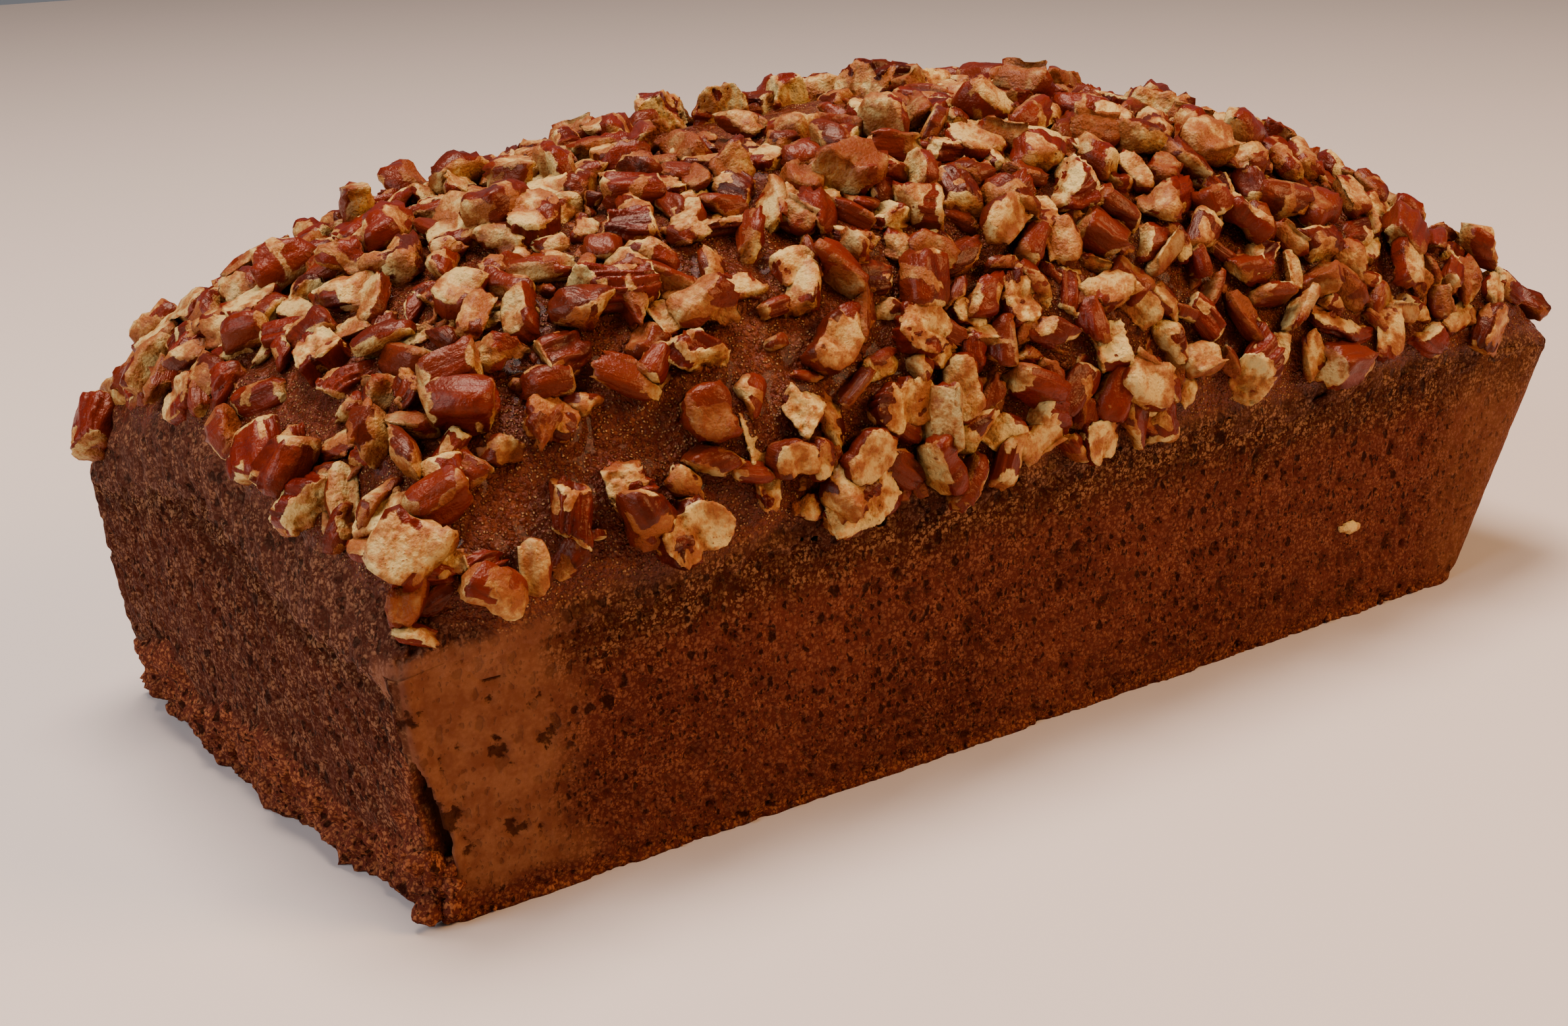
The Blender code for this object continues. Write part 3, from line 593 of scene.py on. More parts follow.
def shape_crust(made, sizes, pieces):
    """Brings the sheet to the dome's form, with glaze climbing the nuts, wrinkles and porous shoulders."""
    mesh = made.data
    flat = read_points(mesh)
    points, over = np.empty_like(flat), np.empty(len(flat))
    for n, (a, c, w) in enumerate(flat):
        s, t = spread_along(a), spread_across(c)
        points[n] = crust_point(a, c) if w > -1e-6 else wall_point(s, t, 1.0 + w * SKIRT_STEP / RIM_HEIGHT)
        over[n] = points[n][2] - rim_height(s, t) - end_arch(s, t)
    drop = np.clip(-flat[:, 2], 0.0, SKIRT_ROWS) * SKIRT_STEP
    write_points(mesh, points)
    normals = read_normals(mesh)
    top = drop < 1e-6
    on_dome = soft(over, 0.0, 0.006)
    relief = on_dome * CRUST_BUMP * noise_at(points, CRUST_BUMP_PITCH)
    relief += (1.0 - on_dome) * SIDE_BUMP * noise_at(points, SIDE_BUMP_PITCH)
    moved = points + normals * relief[:, None]

    # Crust above the shoulders, open crumb on them: higher up at the near end than along the sides.
    ragged = 0.6 * noise_at(points, RAGGED_CRUST) + 0.4 * noise_at(points, 0.0019, 3.0)
    patchy = noise_at(points, PATCHY, 2.0)
    near = soft(-flat[:, 0], 0.80, 0.97)
    far = soft(flat[:, 0], 0.90, 1.0)
    open_to = 0.0012 + 0.0075 * near + 0.0015 * far + 0.0016 * ragged + 0.0014 * patchy
    crust = soft(over, open_to - 0.0008, open_to + 0.0026)
    skin = soft(-points[:, 0] + 0.0015 * ragged, 0.0780, 0.0860) * soft(-points[:, 1], 0.0440, 0.0480)
    skin *= 1.0 - soft(over + 0.0012 * ragged, 0.0008, 0.0030)
    pore, grains = np.zeros(len(points)), np.zeros(len(points))
    low = crust < 0.999
    pore[low], grains[low] = crumb_at(points[low])
    pore *= (1.0 - crust) * (1.0 - 0.85 * skin)
    grains *= 1.0 - 0.8 * skin

    gap = nut_distances(moved, pieces)
    swell = sizes.glaze_swell * (np.exp(-((np.clip(gap, 0.0, None) / 0.0011) ** 2)) - 0.25)
    wrinkle = 0.00022 * noise_at(points, 0.0016, 5.0) + 0.00040 * noise_at(points, 0.0050, 8.0)
    lip = sizes.crust_lip * (1.0 - (drop / 0.0019) ** 2) + 0.0006 * ragged
    edge = np.clip(1.0 - over / 0.003, 0.0, 1.0)
    height = np.where(top, swell * crust + wrinkle + edge * (sizes.crust_lip + 0.0006 * ragged), lip)
    cleft = cleft_at(moved)
    height = height * (1.0 - 0.8 * skin) + grains * (1.0 - crust)
    moved += normals * (height - sizes.pore_depth * pore - CLEFT_DEPTH * cleft)[:, None]
    write_points(mesh, moved)
    band = 1.0 - soft(over, open_to + 0.0006, open_to + 0.0050)
    band *= np.maximum(0.85 * (1.0 - near), 0.62 * near) * (1.0 - skin)
    glaze = np.exp(-((np.clip(gap, 0.0, None) / 0.0016) ** 2)) * crust
    # The pore mask, with the cleft, also paints shade into these hollows.
    write_masks(mesh, crust=crust, glaze=glaze, band=band, pore=np.maximum(pore, cleft), skin=skin, torn=0.0)


def shape_walls(made, sizes):
    """Brings the ring to the walls' form, with porous crumb, smooth skin, the split and the torn foot."""
    mesh = made.data
    flat = read_points(mesh)
    share = np.arctan2(flat[:, 1], flat[:, 0]) / (2.0 * math.pi) % 1.0
    marks = (0.0, END_SHARE, 0.5, 0.5 + END_SHARE, 1.0)
    around = np.interp(share, marks, (1, 1, -1, -1, 1)), np.interp(share, marks, (-1, 1, 1, -1, -1))
    lift = np.clip(1.0 + flat[:, 2] / RING_ROWS, 0.0, 1.0)
    points = np.array([wall_point(s, t, up) for s, t, up in zip(*around, lift)])
    base, at_near = lift < 1e-6, around[0] < -0.999
    at_front = (around[1] < -0.999) | ((around[0] < -0.999) & (around[1] < -0.97))
    write_points(mesh, points)
    normals = read_normals(mesh)
    normals[base, 2] = 0.0
    moved = points + normals * (SIDE_BUMP * noise_at(points, SIDE_BUMP_PITCH))[:, None]
    moved[at_near, 0] += torn_back(points[at_near])

    below = (1.0 - lift) * RIM_HEIGHT
    patchy = noise_at(points, PATCHY, 2.0)
    ragged = noise_at(points, RAGGED_CRUMB)
    stretched = points.copy()
    stretched[:, 2] *= 1.0 - 0.35 * soft(points[:, 0], 0.0, 0.06)

    # Smooth skin beside the fold and round the far corners, with a few torn pits in it.
    edge = 0.0035 * noise_at(points, 0.009, 4.0) + 0.0015 * ragged
    near_skin = soft(-points[:, 0] + edge, 0.0780, 0.0870) * soft(points[:, 2] + 0.4 * edge, 0.0030, 0.0060)
    near_skin *= at_front * (1.0 - soft(points[:, 2] + edge, 0.0372, 0.0400))
    far_skin = soft(points[:, 0] + edge, 0.086, 0.104) * soft(-points[:, 1], 0.015, 0.044)
    skin = np.clip(near_skin + 0.65 * far_skin, 0.0, 1.0)
    tear = noise_at(points, 0.0036, 11.0) + 0.45 * noise_at(points, 0.0012, 5.0)
    tear = soft(tear, 0.28, 0.54) * near_skin
    open_crumb = np.clip(1.0 - skin, 0.12, 1.0)

    pore, grains = crumb_at(stretched)
    pore *= open_crumb * (0.75 + 0.35 * patchy)
    height = grains * open_crumb - sizes.pore_depth * (pore + 0.50 * tear)
    shaggy = soft(points[:, 2] + 0.6 * edge, 0.0320, 0.0400) * at_near * (1.0 - skin)
    steps = noise_at(points, 0.0048, 17.0) + 0.5 * noise_at(points, 0.0017, 19.0)
    steps = soft(steps, 0.05, 0.40) * shaggy
    height -= 0.0011 * steps
    # Torn pits and steps join the pores, and are painted dark as shade.
    pore = np.maximum(np.maximum(pore, tear), 0.55 * steps)

    # Torn crumb at the near end's foot and along the base.
    torn_edge = 0.0118 + 0.0085 * noise_at(points, 0.018, 9.0) + 0.0024 * ragged
    torn = (1.0 - soft(points[:, 2], torn_edge - 0.0012, torn_edge + 0.0006)) * at_near
    crags = 0.3 - np.abs(noise_at(points, 0.0042, 13.0))
    lumps = 0.0026 * noise_at(points, 0.0105, 1.0) + 0.0007 * noise_at(points, 0.0016, 23.0)
    height += torn * (lumps + 0.0034 * crags + 0.0002)
    frayed = (1.0 - soft(points[:, 2], 0.0005, 0.0035)) * ~at_near
    height += frayed * (0.0006 * ragged - 0.0003)
    normals = read_normals(mesh)
    normals[base, 2] = 0.0
    cleft = cleft_at(moved)
    moved += normals * (height - CLEFT_DEPTH * cleft)[:, None]

    # The split: a steep-sided cut down the corner, and the fold's lip standing beside it.
    gap, away = line_distance(moved, FOLD_LINE)
    inside = np.clip(1.0 - gap**4, 0.0, 1.0)
    moved += inside[:, None] * np.array(SPLIT_SHIFT)
    beside = np.linalg.norm(away, axis=1)
    lip = np.exp(-(((beside - 0.0016) / 0.0009) ** 2)) * (away[:, 0] > 0.0)
    moved += lip[:, None] * np.array(LIP_SHIFT)
    moved[:, 2] = np.maximum(moved[:, 2], 0.0)
    moved[base, 2] = 0.0
    write_points(mesh, moved)
    band = 1.0 - soft(below, 0.0030, 0.0120 + 0.004 * ragged)
    band = np.maximum(band * (1.0 - np.maximum(0.5 * skin, near_skin)), 0.62 * at_near * (1.0 - torn))
    cut_side = np.exp(-((gap / 3.0) ** 2)) * (away[:, 0] < 0.0) * (gap > 0.9)
    torn = np.maximum(torn, np.maximum(0.8 * frayed, cut_side))
    # The pore mask, with the cleft and the split, also paints shade into these hollows.
    pore = np.maximum(np.maximum(pore, cleft), inside)
    write_masks(mesh, crust=0.0, glaze=0.0, band=band, skin=skin, torn=torn, pore=pore)


# The nuts

def chop_planes(form, draw):
    """Planes that a way of chopping cuts along, as points and outward directions on the half pecan."""
    tilt, lean = draw.uniform(-0.25, 0.25), draw.uniform(-0.25, 0.25)
    return {
        "ridge": (((0.28, 0, 0), (1, tilt, lean)), ((-0.28, 0, 0), (-1, lean, tilt))),
        "slice": (
            ((0.20, 0, 0), (1, tilt * 0.6, lean * 0.6)),
            ((-0.20, 0, 0), (-1, lean * 0.5, tilt * 0.5)),
        ),
        "strip": (
            ((0, 0.08, 0), (0.15 * tilt, 1, 0.5 + lean)),
            ((0.36, 0, 0), (1, tilt, lean)),
            ((0, 0, -0.2), (0, lean, -1)),
        ),
        "block": (
            ((0.22, 0, 0), (1, tilt, lean)),
            ((-0.22, 0, 0), (-1, lean, 0)),
            ((0, 0.22, 0), (0, 1, tilt)),
            ((0, 0, 0.22), (lean, 0.3, 1)),
        ),
        "tip": (((-0.05, 0, 0), (-1, tilt * 2, lean)), ((0, 0, -0.18), (0, 0, -1))),
        "chunk": (
            ((0.2, 0, 0), (1, tilt * 2, 0.4 + lean)),
            ((-0.24, 0.1, 0), (-1, 0.5 + tilt, lean)),
            ((0, -0.28, 0), (0.2, -1, 0.2)),
        ),
    }[form]


def half_pecan(around, along):
    """Half a pecan along X, 1 each way: blunt ends, a shallow groove above and a deeper one below."""
    deselect()
    lying = (0.0, math.pi / 2.0, 0.0)
    bpy.ops.mesh.primitive_uv_sphere_add(segments=around, ring_count=along, radius=0.5, rotation=lying)
    nut = bpy.context.object
    bpy.ops.object.transform_apply(location=True, rotation=True, scale=True)
    points = read_points(nut.data)
    out = np.minimum(2.0 * np.abs(points[:, 0]), 0.98)
    blunt = (1.0 - out**3) ** 0.4 / np.sqrt(1.0 - out * out)
    turn = np.degrees(np.arctan2(points[:, 2], points[:, 1]))
    groove = 0.34 * np.exp(-(((turn + 90.0) / 26.0) ** 2)) + 0.16 * np.exp(-(((turn - 90.0) / 20.0) ** 2))
    points[:, 1:] *= (blunt * (1.0 - groove))[:, None]
    write_points(nut.data, points)
    return nut


def chop(planes):
    """Chops away what lies beyond each plane of the active nut, and closes the cuts."""
    bpy.ops.object.mode_set(mode="EDIT")
    for point, direction in planes:
        bpy.ops.mesh.select_all(action="SELECT")
        bpy.ops.mesh.bisect(plane_co=point, plane_no=direction, use_fill=True, clear_outer=True)
    bpy.ops.object.mode_set(mode="OBJECT")


def chopped_pecan(form, length, width, seed, around=28, along=16):
    """A chopped piece set down at z = 0, its broken faces' planes, and its move from the half pecan."""
    draw = random.Random(seed)
    nut = half_pecan(around, along)
    planes = [(Vector(point), Vector(direction).normalized()) for point, direction in chop_planes(form, draw)]
    chop(planes)
    turn = Matrix.Identity(4)
    if form == "slice":
        turn = Matrix.Rotation(math.pi / 2.0, 4, "Z") @ Matrix.Rotation(math.pi / 2.0, 4, "Y")
    elif form in ("strip", "chunk"):
        turn = Matrix.Rotation(math.radians(draw.uniform(20.0, 70.0)), 4, "X")
    elif form == "block":
        turn = Matrix.Rotation(math.radians(draw.uniform(-30.0, 30.0)), 4, "Y")
    nut.data.transform(turn)
    points = read_points(nut.data)
    low, high = points.min(axis=0), points.max(axis=0)
    size = Vector((length, width, width * draw.uniform(0.62, 0.82)))
    scale = Matrix.Diagonal([size[i] / float(high[i] - low[i]) for i in range(3)]).to_4x4()
    middle = Matrix.Translation((-(low[0] + high[0]) / 2.0, -(low[1] + high[1]) / 2.0, -low[2]))
    nut.data.transform(scale @ middle)
    return nut, planes, scale @ middle @ turn


def moved_planes(planes, matrix):
    """Planes carried along by an affine move."""
    back = matrix.to_3x3().inverted().transposed()
    return [(matrix @ point, (back @ direction).normalized()) for point, direction in planes]


def remesh(nut, voxel):
    activate(nut)
    even = nut.modifiers.new("Even mesh", "REMESH")
    even.mode = "VOXEL"
    even.voxel_size = voxel
    bpy.ops.object.modifier_apply(modifier=even.name)
    worn = nut.modifiers.new("Worn edges", "SMOOTH")
    worn.factor = 0.5
    worn.iterations = 2
    bpy.ops.object.modifier_apply(modifier=worn.name)


def weather(nut, planes, unit_matrix, lying, voxel, seed, relief):
    """Gives a piece its wrinkled skin and its rough broken faces, and marks where each lies."""
    remesh(nut, voxel)
    mesh = nut.data
    points = read_points(mesh)
    normals = read_normals(mesh)
    inside, cuts = np.full(len(points), 1.0), np.zeros(len(points))
    for point, direction in planes:
        gap = np.abs((points - np.array(point)) @ np.array(direction))
        inside = np.minimum(inside, gap)
        cuts += gap < CHIP_REACH
    back = np.array(unit_matrix.inverted())
    unit = points @ back[:3, :3].T + back[:3, 3]

    # Broken faces with patches of toasted skin left on them, and skin scraped off in places.
    lumps = noise_at(points, 0.0034, seed * 0.37)
    rough = noise_at(points, 0.0016, seed * 0.53)
    fine = noise_at(points, 0.0008, seed * 0.11)
    patch = noise_at(points, 0.0042, seed * 0.71) + 0.4 * noise_at(points, 0.0013, seed * 0.2)
    flesh = 1.0 - soft(inside + 0.00050 * rough + 0.00025 * fine, 0.00022, 0.00055)
    flesh *= 1.0 - soft(patch, 0.34, 0.42)
    scraped = soft(noise_at(points, 0.0030, seed * 0.91) + 0.5 * rough, 0.34, 0.42)
    flesh = np.maximum(flesh, 0.9 * scraped)
    seam = np.exp(-((unit[:, 1] / 0.075) ** 2)) * soft(-unit[:, 2], -0.22, 0.05) * (np.abs(unit[:, 2]) < 0.45)
    seam *= flesh
    toast = np.maximum(np.maximum(soft(patch, -0.35, 0.34), 0.8 * scraped), 0.9 * seam)

    # Ridges along the skin, rough flesh and chipped edges.
    turn = np.arctan2(unit[:, 2], unit[:, 1])
    turn += 0.5 * np.array([noise.noise((x * 2.2 + seed, y, z)) for x, y, z in unit])
    rings = zip(unit[:, 0] * 0.9 + seed, 2.4 * np.cos(turn), 2.4 * np.sin(turn))
    ridges = 1.8 * np.abs([noise.noise(place) for place in rings]) - 0.5
    chips = (cuts > 1.5) * np.clip(rough, 0.0, 1.0)
    on_skin = 0.00075 * ridges + 0.00010 * rough + 0.00030 * lumps
    on_flesh = 0.00034 * lumps + 0.00034 * (0.25 - np.abs(rough)) + 0.00014 * fine - 0.00008
    height = (1.0 - flesh) * on_skin + flesh * on_flesh - 0.0006 * chips - 0.0005 * seam
    points = wander(points + normals * (height * relief)[:, None], 0.0070, 0.0007 * relief)
    write_points(mesh, points)
    low = np.array(lying.inverted())
    over = points @ low[2, :3] + low[2, 3] - 0.0010
    # The foot mask darkens each piece towards the crust: glaze there, and painted shade.
    write_masks(mesh, flesh=flesh, toast=toast, foot=np.exp(-np.clip(over, 0.0, None) / 0.0014))
    layer = mesh.attributes.new("grain_place", "FLOAT_VECTOR", "POINT")
    layer.data.foreach_set("vector", (unit * (0.22, 1.0, 1.0) + seed * 0.7).astype(np.float32).ravel())


def part_pieces(nuts):
    """Where two large pieces would meet, a plane between them parts both. Returns each one's extra planes."""
    graph = bpy.context.evaluated_depsgraph_get()
    trees = [bvhtree.BVHTree.FromObject(nut, graph) for nut in nuts]
    centres = [Vector(read_points(nut.data).mean(axis=0)) for nut in nuts]
    extra = [[] for _ in nuts]
    for i in range(len(nuts)):
        for j in range(i + 1, len(nuts)):
            if (centres[i] - centres[j]).length > PARTING_REACH or not trees[i].overlap(trees[j]):
                continue
            between = (centres[j] - centres[i]).normalized()
            middle = (centres[i] + centres[j]) / 2.0
            extra[i].append((middle - between * PARTING_GAP, between))
            extra[j].append((middle + between * PARTING_GAP, -between))
    for nut, planes in zip(nuts, extra):
        if planes:
            activate(nut)
            chop(planes)
    return extra


def copy_of(kind, matrix, tint):
    """A copy of a modelled kind with its own mesh, in its place, a little lighter or darker than the next."""
    made = kind.copy()
    made.data = kind.data.copy()
    bpy.context.collection.objects.link(made)
    made.data.transform(matrix)
    write_mask(made.data, "tint", tint)
    return made


def join(pieces):
    deselect()
    for piece in pieces:
        piece.select_set(True)
    bpy.context.view_layer.objects.active = pieces[0]
    bpy.ops.object.join()
    return bpy.context.object


def nut_kinds(variants, length, voxel, relief):
    """Each way of chopping, modelled a few times at a usual size and kept with its span."""
    kinds = {}
    for form_number, form in enumerate(FORMS):
        for variant in range(variants):
            seed = 300 + 10 * form_number + variant
            nut, planes, unit = chopped_pecan(form, length, length * USUAL_WIDTH, seed, 20, 12)
            weather(nut, moved_planes(planes, unit), unit, Matrix.Identity(4), voxel, seed, relief)
            points = read_points(nut.data)
            kinds[form, variant] = (nut, points.max(axis=0) - points.min(axis=0))
    return kinds


def place_kinds(rows, variants, length, voxel, relief, seed, flip, lift):
    """Copies of the kinds, each stretched to its row and laid in place, some turned over or propped up."""
    kinds = nut_kinds(variants, length, voxel, relief)
    draw = random.Random(seed)
    made = []
    for number, (a, c, long, wide, heading, tip, form) in enumerate(rows, 1):
        kind, span = kinds[form, draw.randrange(variants)]
        ratio = USUAL_WIDTH + (0.10 + 50.0 * lift) * math.sin(number * 2.4)
        place = Matrix.Diagonal((long / span[0], wide / span[1], wide * ratio / span[2])).to_4x4()
        if draw.random() < flip:
            over = Matrix.Rotation(draw.choice((0.5, 1.0, 1.5)) * math.pi, 4, "X")
            down = Matrix.Translation((0.0, 0.0, -wide * 0.36))
            place = Matrix.Translation((0.0, 0.0, wide * 0.40)) @ over @ down @ place
        raised = Matrix.Translation((0.0, 0.0, draw.uniform(0.0, lift)))
        place = lying_matrix(a, c, heading, tip) @ raised @ place
        made.append(copy_of(kind, place, draw.uniform(0.0, 1.0) ** 1.5))
    for kind, _ in kinds.values():
        bpy.data.objects.remove(kind)
    return made


def crumb_kinds(count, splits):
    """Ragged lumps of crumb about one unit across."""
    kinds = []
    for number in range(count):
        deselect()
        bpy.ops.mesh.primitive_ico_sphere_add(subdivisions=splits, radius=0.5)
        lump = bpy.context.object
        bpy.ops.object.mode_set(mode="EDIT")
        bpy.ops.mesh.select_all(action="SELECT")
        size = (1.0, 0.75 + 0.08 * number, 0.62 + 0.05 * number)
        bpy.ops.transform.resize(value=size, center_override=(0.0, 0.0, 0.0))
        bpy.ops.object.mode_set(mode="OBJECT")
        points = read_points(lump.data)
        ragged = 0.16 * noise_at(points, 0.42, number * 3.1) + 0.09 * noise_at(points, 0.17, number * 5.3)
        write_points(lump.data, points + read_normals(lump.data) * ragged[:, None])
        write_masks(lump.data, torn=1.0, crust=0.0, band=0.0, skin=0.0, glaze=0.0, pore=0.0)
        kinds.append(lump)
    return kinds


def crumb_places(draw):
    """Where the loose crumbs lie and how large they are: the clump at the near front corner first."""
    rows = []
    for _ in range(CLUMP_CRUMBS):
        spread = draw.gauss(0.0, 1.0)
        up = draw.uniform(0.0012, 0.0100)
        spot = Vector((-0.1014 - 0.05 * up + 0.0009 * spread, -0.0498 + 0.0013 * draw.gauss(0, 1), up))
        rows.append((spot, draw.uniform(0.0026, 0.0052)))
    for _ in range(TORN_LUMPS):
        up = draw.uniform(0.0006, 0.0120)
        spot = wall_point(-1.0, draw.uniform(-0.97, 0.97), up / RIM_HEIGHT)
        size = draw.uniform(0.0028, 0.0064)
        spot += Vector((TORN_DEPTH * 0.6 + 0.18 * size, 0.0, max(0.0, 0.42 * size - up)))
        rows.append((spot, size))
    for _ in range(END_CRUMBS):
        t = draw.uniform(-0.98, 0.98)
        up = draw.uniform(0.0, 1.0) ** 1.5 * 0.0095
        spot = wall_point(-1.0, t, up / RIM_HEIGHT) + Vector((0.0008 + TORN_DEPTH * 0.5, 0.0, 0.0003))
        rows.append((spot, draw.uniform(0.0010, 0.0030)))
    for _ in range(FRONT_CRUMBS):
        spot = wall_point(draw.uniform(-0.97, 0.9), -1.0, 0.0)
        spot += Vector((0.0, 0.0004, draw.uniform(0.0003, 0.0010)))
        rows.append((spot, draw.uniform(0.0007, 0.0016)))
    return rows


def scatter_crumbs(seed):
    """Copies of the lumps in their places, the finer ones from fewer faces, none below the floor."""
    draw = random.Random(seed)
    kinds = crumb_kinds(CRUMB_FORMS, 3) + crumb_kinds(CRUMB_FORMS, 2)
    made = []
    for spot, size in crumb_places(draw):
        kind = kinds[draw.randrange(CRUMB_FORMS) + (0 if size > FINE_CRUMB else CRUMB_FORMS)]
        turn = Matrix.Rotation(draw.uniform(0, 6.28), 4, "Z") @ Matrix.Rotation(draw.uniform(0, 6.28), 4, "X")
        lump = copy_of(kind, Matrix.Translation(spot) @ turn @ Matrix.Scale(size, 4), 0.5)
        sunk = min(0.0, float(read_points(lump.data)[:, 2].min()))
        lump.data.transform(Matrix.Translation((0.0, 0.0, -sunk)))
        made.append(lump)
    for kind in kinds:
        bpy.data.objects.remove(kind)
    return made


# Materials

class Web:
    """Short ways to add nodes to a tree and wire them."""

    def __init__(self, tree):
        self.tree = tree

    def feed(self, sockets, values):
        for key, value in values.items():
            if isinstance(value, bpy.types.NodeSocket):
                self.tree.links.new(value, sockets[key])
            else:
                sockets[key].default_value = (*value, 1.0) if sockets[key].type == "RGBA" else value

    def add(self, kind, values, output=0, **settings):
        made = self.tree.nodes.new("ShaderNode" + kind)
        for key, value in settings.items():
            setattr(made, key, value)
        self.feed(made.inputs, values)
        return made.outputs[output]

    def math(self, operation, first, second):
        return self.add("Math", {0: first, 1: second}, operation=operation)

    def times(self, first, *others):
        for other in others:
            first = self.math("MULTIPLY", first, other)
        return first

    def sum(self, *terms):
        """The terms added up: each is a value with its factor, and with what is taken off it first."""
        total = None
        for value, factor, *offset in terms:
            if offset:
                value = self.math("SUBTRACT", value, offset[0])
            value = self.times(value, factor)
            total = value if total is None else self.math("ADD", total, value)
        return total

    def ramp(self, value, low, high, to_low=0.0, to_high=1.0):
        span = {"Value": value, "From Min": low, "From Max": high, "To Min": to_low, "To Max": to_high}
        return self.add("MapRange", span, interpolation_type="SMOOTHSTEP")

    def swing(self, value, to_low, to_high):
        return self.ramp(value, 0.0, 1.0, to_low, to_high)

    def mix(self, share, first, second):
        return self.add("Mix", {"Factor": share, 6: first, 7: second}, 2, data_type="RGBA")

    def mix_values(self, share, first, second):
        return self.add("Mix", {"Factor": share, 2: first, 3: second}, data_type="FLOAT")

    def layer(self, base, color, *masks):
        """A colour laid over another where all the masks are high."""
        return self.mix(self.times(*masks), base, color)

    def mask(self, name):
        return self.add("Attribute", {}, "Fac", attribute_name=name)

    def push(self, place, cause, size):
        """A place pushed about by the colours of a noise."""
        pushed = self.add("VectorMath", {0: cause.node.outputs["Color"], "Scale": size}, operation="SCALE")
        return self.add("VectorMath", {0: place, 1: pushed}, operation="ADD")

    def group(self, name, place, *numbers):
        """A shared group at work on a place, with its numbers in their order."""
        tree = bpy.data.node_groups.get(name) or GROUPS[name](name)
        made = self.add("Group", {}, node_tree=tree).node
        self.feed(made.inputs, dict(enumerate((place, *numbers))))
        return made.outputs


def new_group(name, inputs, outputs):
    """An empty group with sockets for a place, some numbers and its results."""
    tree = bpy.data.node_groups.new(name, "ShaderNodeTree")
    tree.interface.new_socket(name="Vector", in_out="INPUT", socket_type="NodeSocketVector")
    for label, default in inputs.items():
        made = tree.interface.new_socket(name=label, in_out="INPUT", socket_type="NodeSocketFloat")
        made.default_value = default
    for label in outputs:
        tree.interface.new_socket(name=label, in_out="OUTPUT", socket_type="NodeSocketFloat")
    given = tree.nodes.new("NodeGroupInput").outputs
    return Web(tree), given, given["Vector"], tree.nodes.new("NodeGroupOutput").inputs


def browning_group(name):
    """Uneven browning: smooth patches and finer mottling in one mask."""
    web, given, place, result = new_group(name, {"Patch Size": 0.02, "Fineness": 6.0}, ("Mask",))
    scale = web.math("DIVIDE", 1.0, given["Patch Size"])
    finer = web.times(scale, given["Fineness"])
    patches = web.add("TexNoise", {"Vector": place, "Scale": scale, "Detail": 2.0, "Roughness": 0.5})
    mottles = web.add("TexNoise", {"Vector": place, "Scale": finer, "Detail": 3.0, "Roughness": 0.6})
    web.feed(result, {"Mask": web.ramp(web.sum((patches, 0.6), (mottles, 0.4)), 0.30, 0.70)})
    return web.tree


def grain_group(name):
    """Fine grain: the height of crumb, nut flesh or sugary crust, specks scattered in it, and its granules.
    """
    numbers = {"Grain Size": 0.001, "Speck Size": 0.35}
    web, given, place, result = new_group(name, numbers, ("Height", "Specks", "Granules"))
    scale = web.math("DIVIDE", 1.0, given["Grain Size"])
    grain = web.add("TexNoise", {"Vector": place, "Scale": scale, "Detail": 4.0, "Roughness": 0.65})
    uneven = web.push(place, grain, 0.0006)
    dots = web.add("TexVoronoi", {"Vector": uneven, "Scale": scale, "Randomness": 0.8}, feature="F1")
    specks = web.add("MapRange", {"Value": dots, "From Min": given["Speck Size"], "From Max": 0.0})
    rounded = web.ramp(dots, 0.55, 0.05)
    web.feed(result, {"Height": web.sum((grain, 0.6), (rounded, 0.4)), "Specks": specks, "Granules": rounded})
    return web.tree


def pore_group(name):
    """Open pores: holes of uneven size and outline, in a share of the places only."""
    web, given, place, result = new_group(name, {"Pitch": 0.002, "Widest": 0.35, "Share": 0.6}, ("Mask",))
    pitch = given["Pitch"]
    scale = web.math("DIVIDE", 1.0, pitch)
    ragged = web.add("TexNoise", {"Vector": place, "Scale": web.times(scale, 1.3), "Detail": 3.0})
    uneven = web.push(place, ragged, web.times(pitch, 1.1))
    dots = web.add("TexVoronoi", {"Vector": uneven, "Scale": scale, "Randomness": 0.35}, feature="F1")
    picks = web.add("SeparateColor", {"Color": dots.node.outputs["Color"]}).node.outputs
    radius = web.times(given["Widest"], web.swing(picks[0], 0.35, 1.0))
    hole = web.ramp(web.math("DIVIDE", dots, radius), 1.0, 0.60)
    web.feed(result, {"Mask": web.times(hole, web.math("LESS_THAN", picks[1], given["Share"]))})
    return web.tree


GROUPS = {"Browning": browning_group, "Food Grain": grain_group, "Crumb Pores": pore_group}


def new_material(name):
    """An empty material with its web, its shader's sockets and the place on the object."""
    look = bpy.data.materials.new(name)
    look.use_nodes = True
    web = Web(look.node_tree)
    return look, web, look.node_tree.nodes["Principled BSDF"].inputs, web.add("TexCoord", {}, "Object")


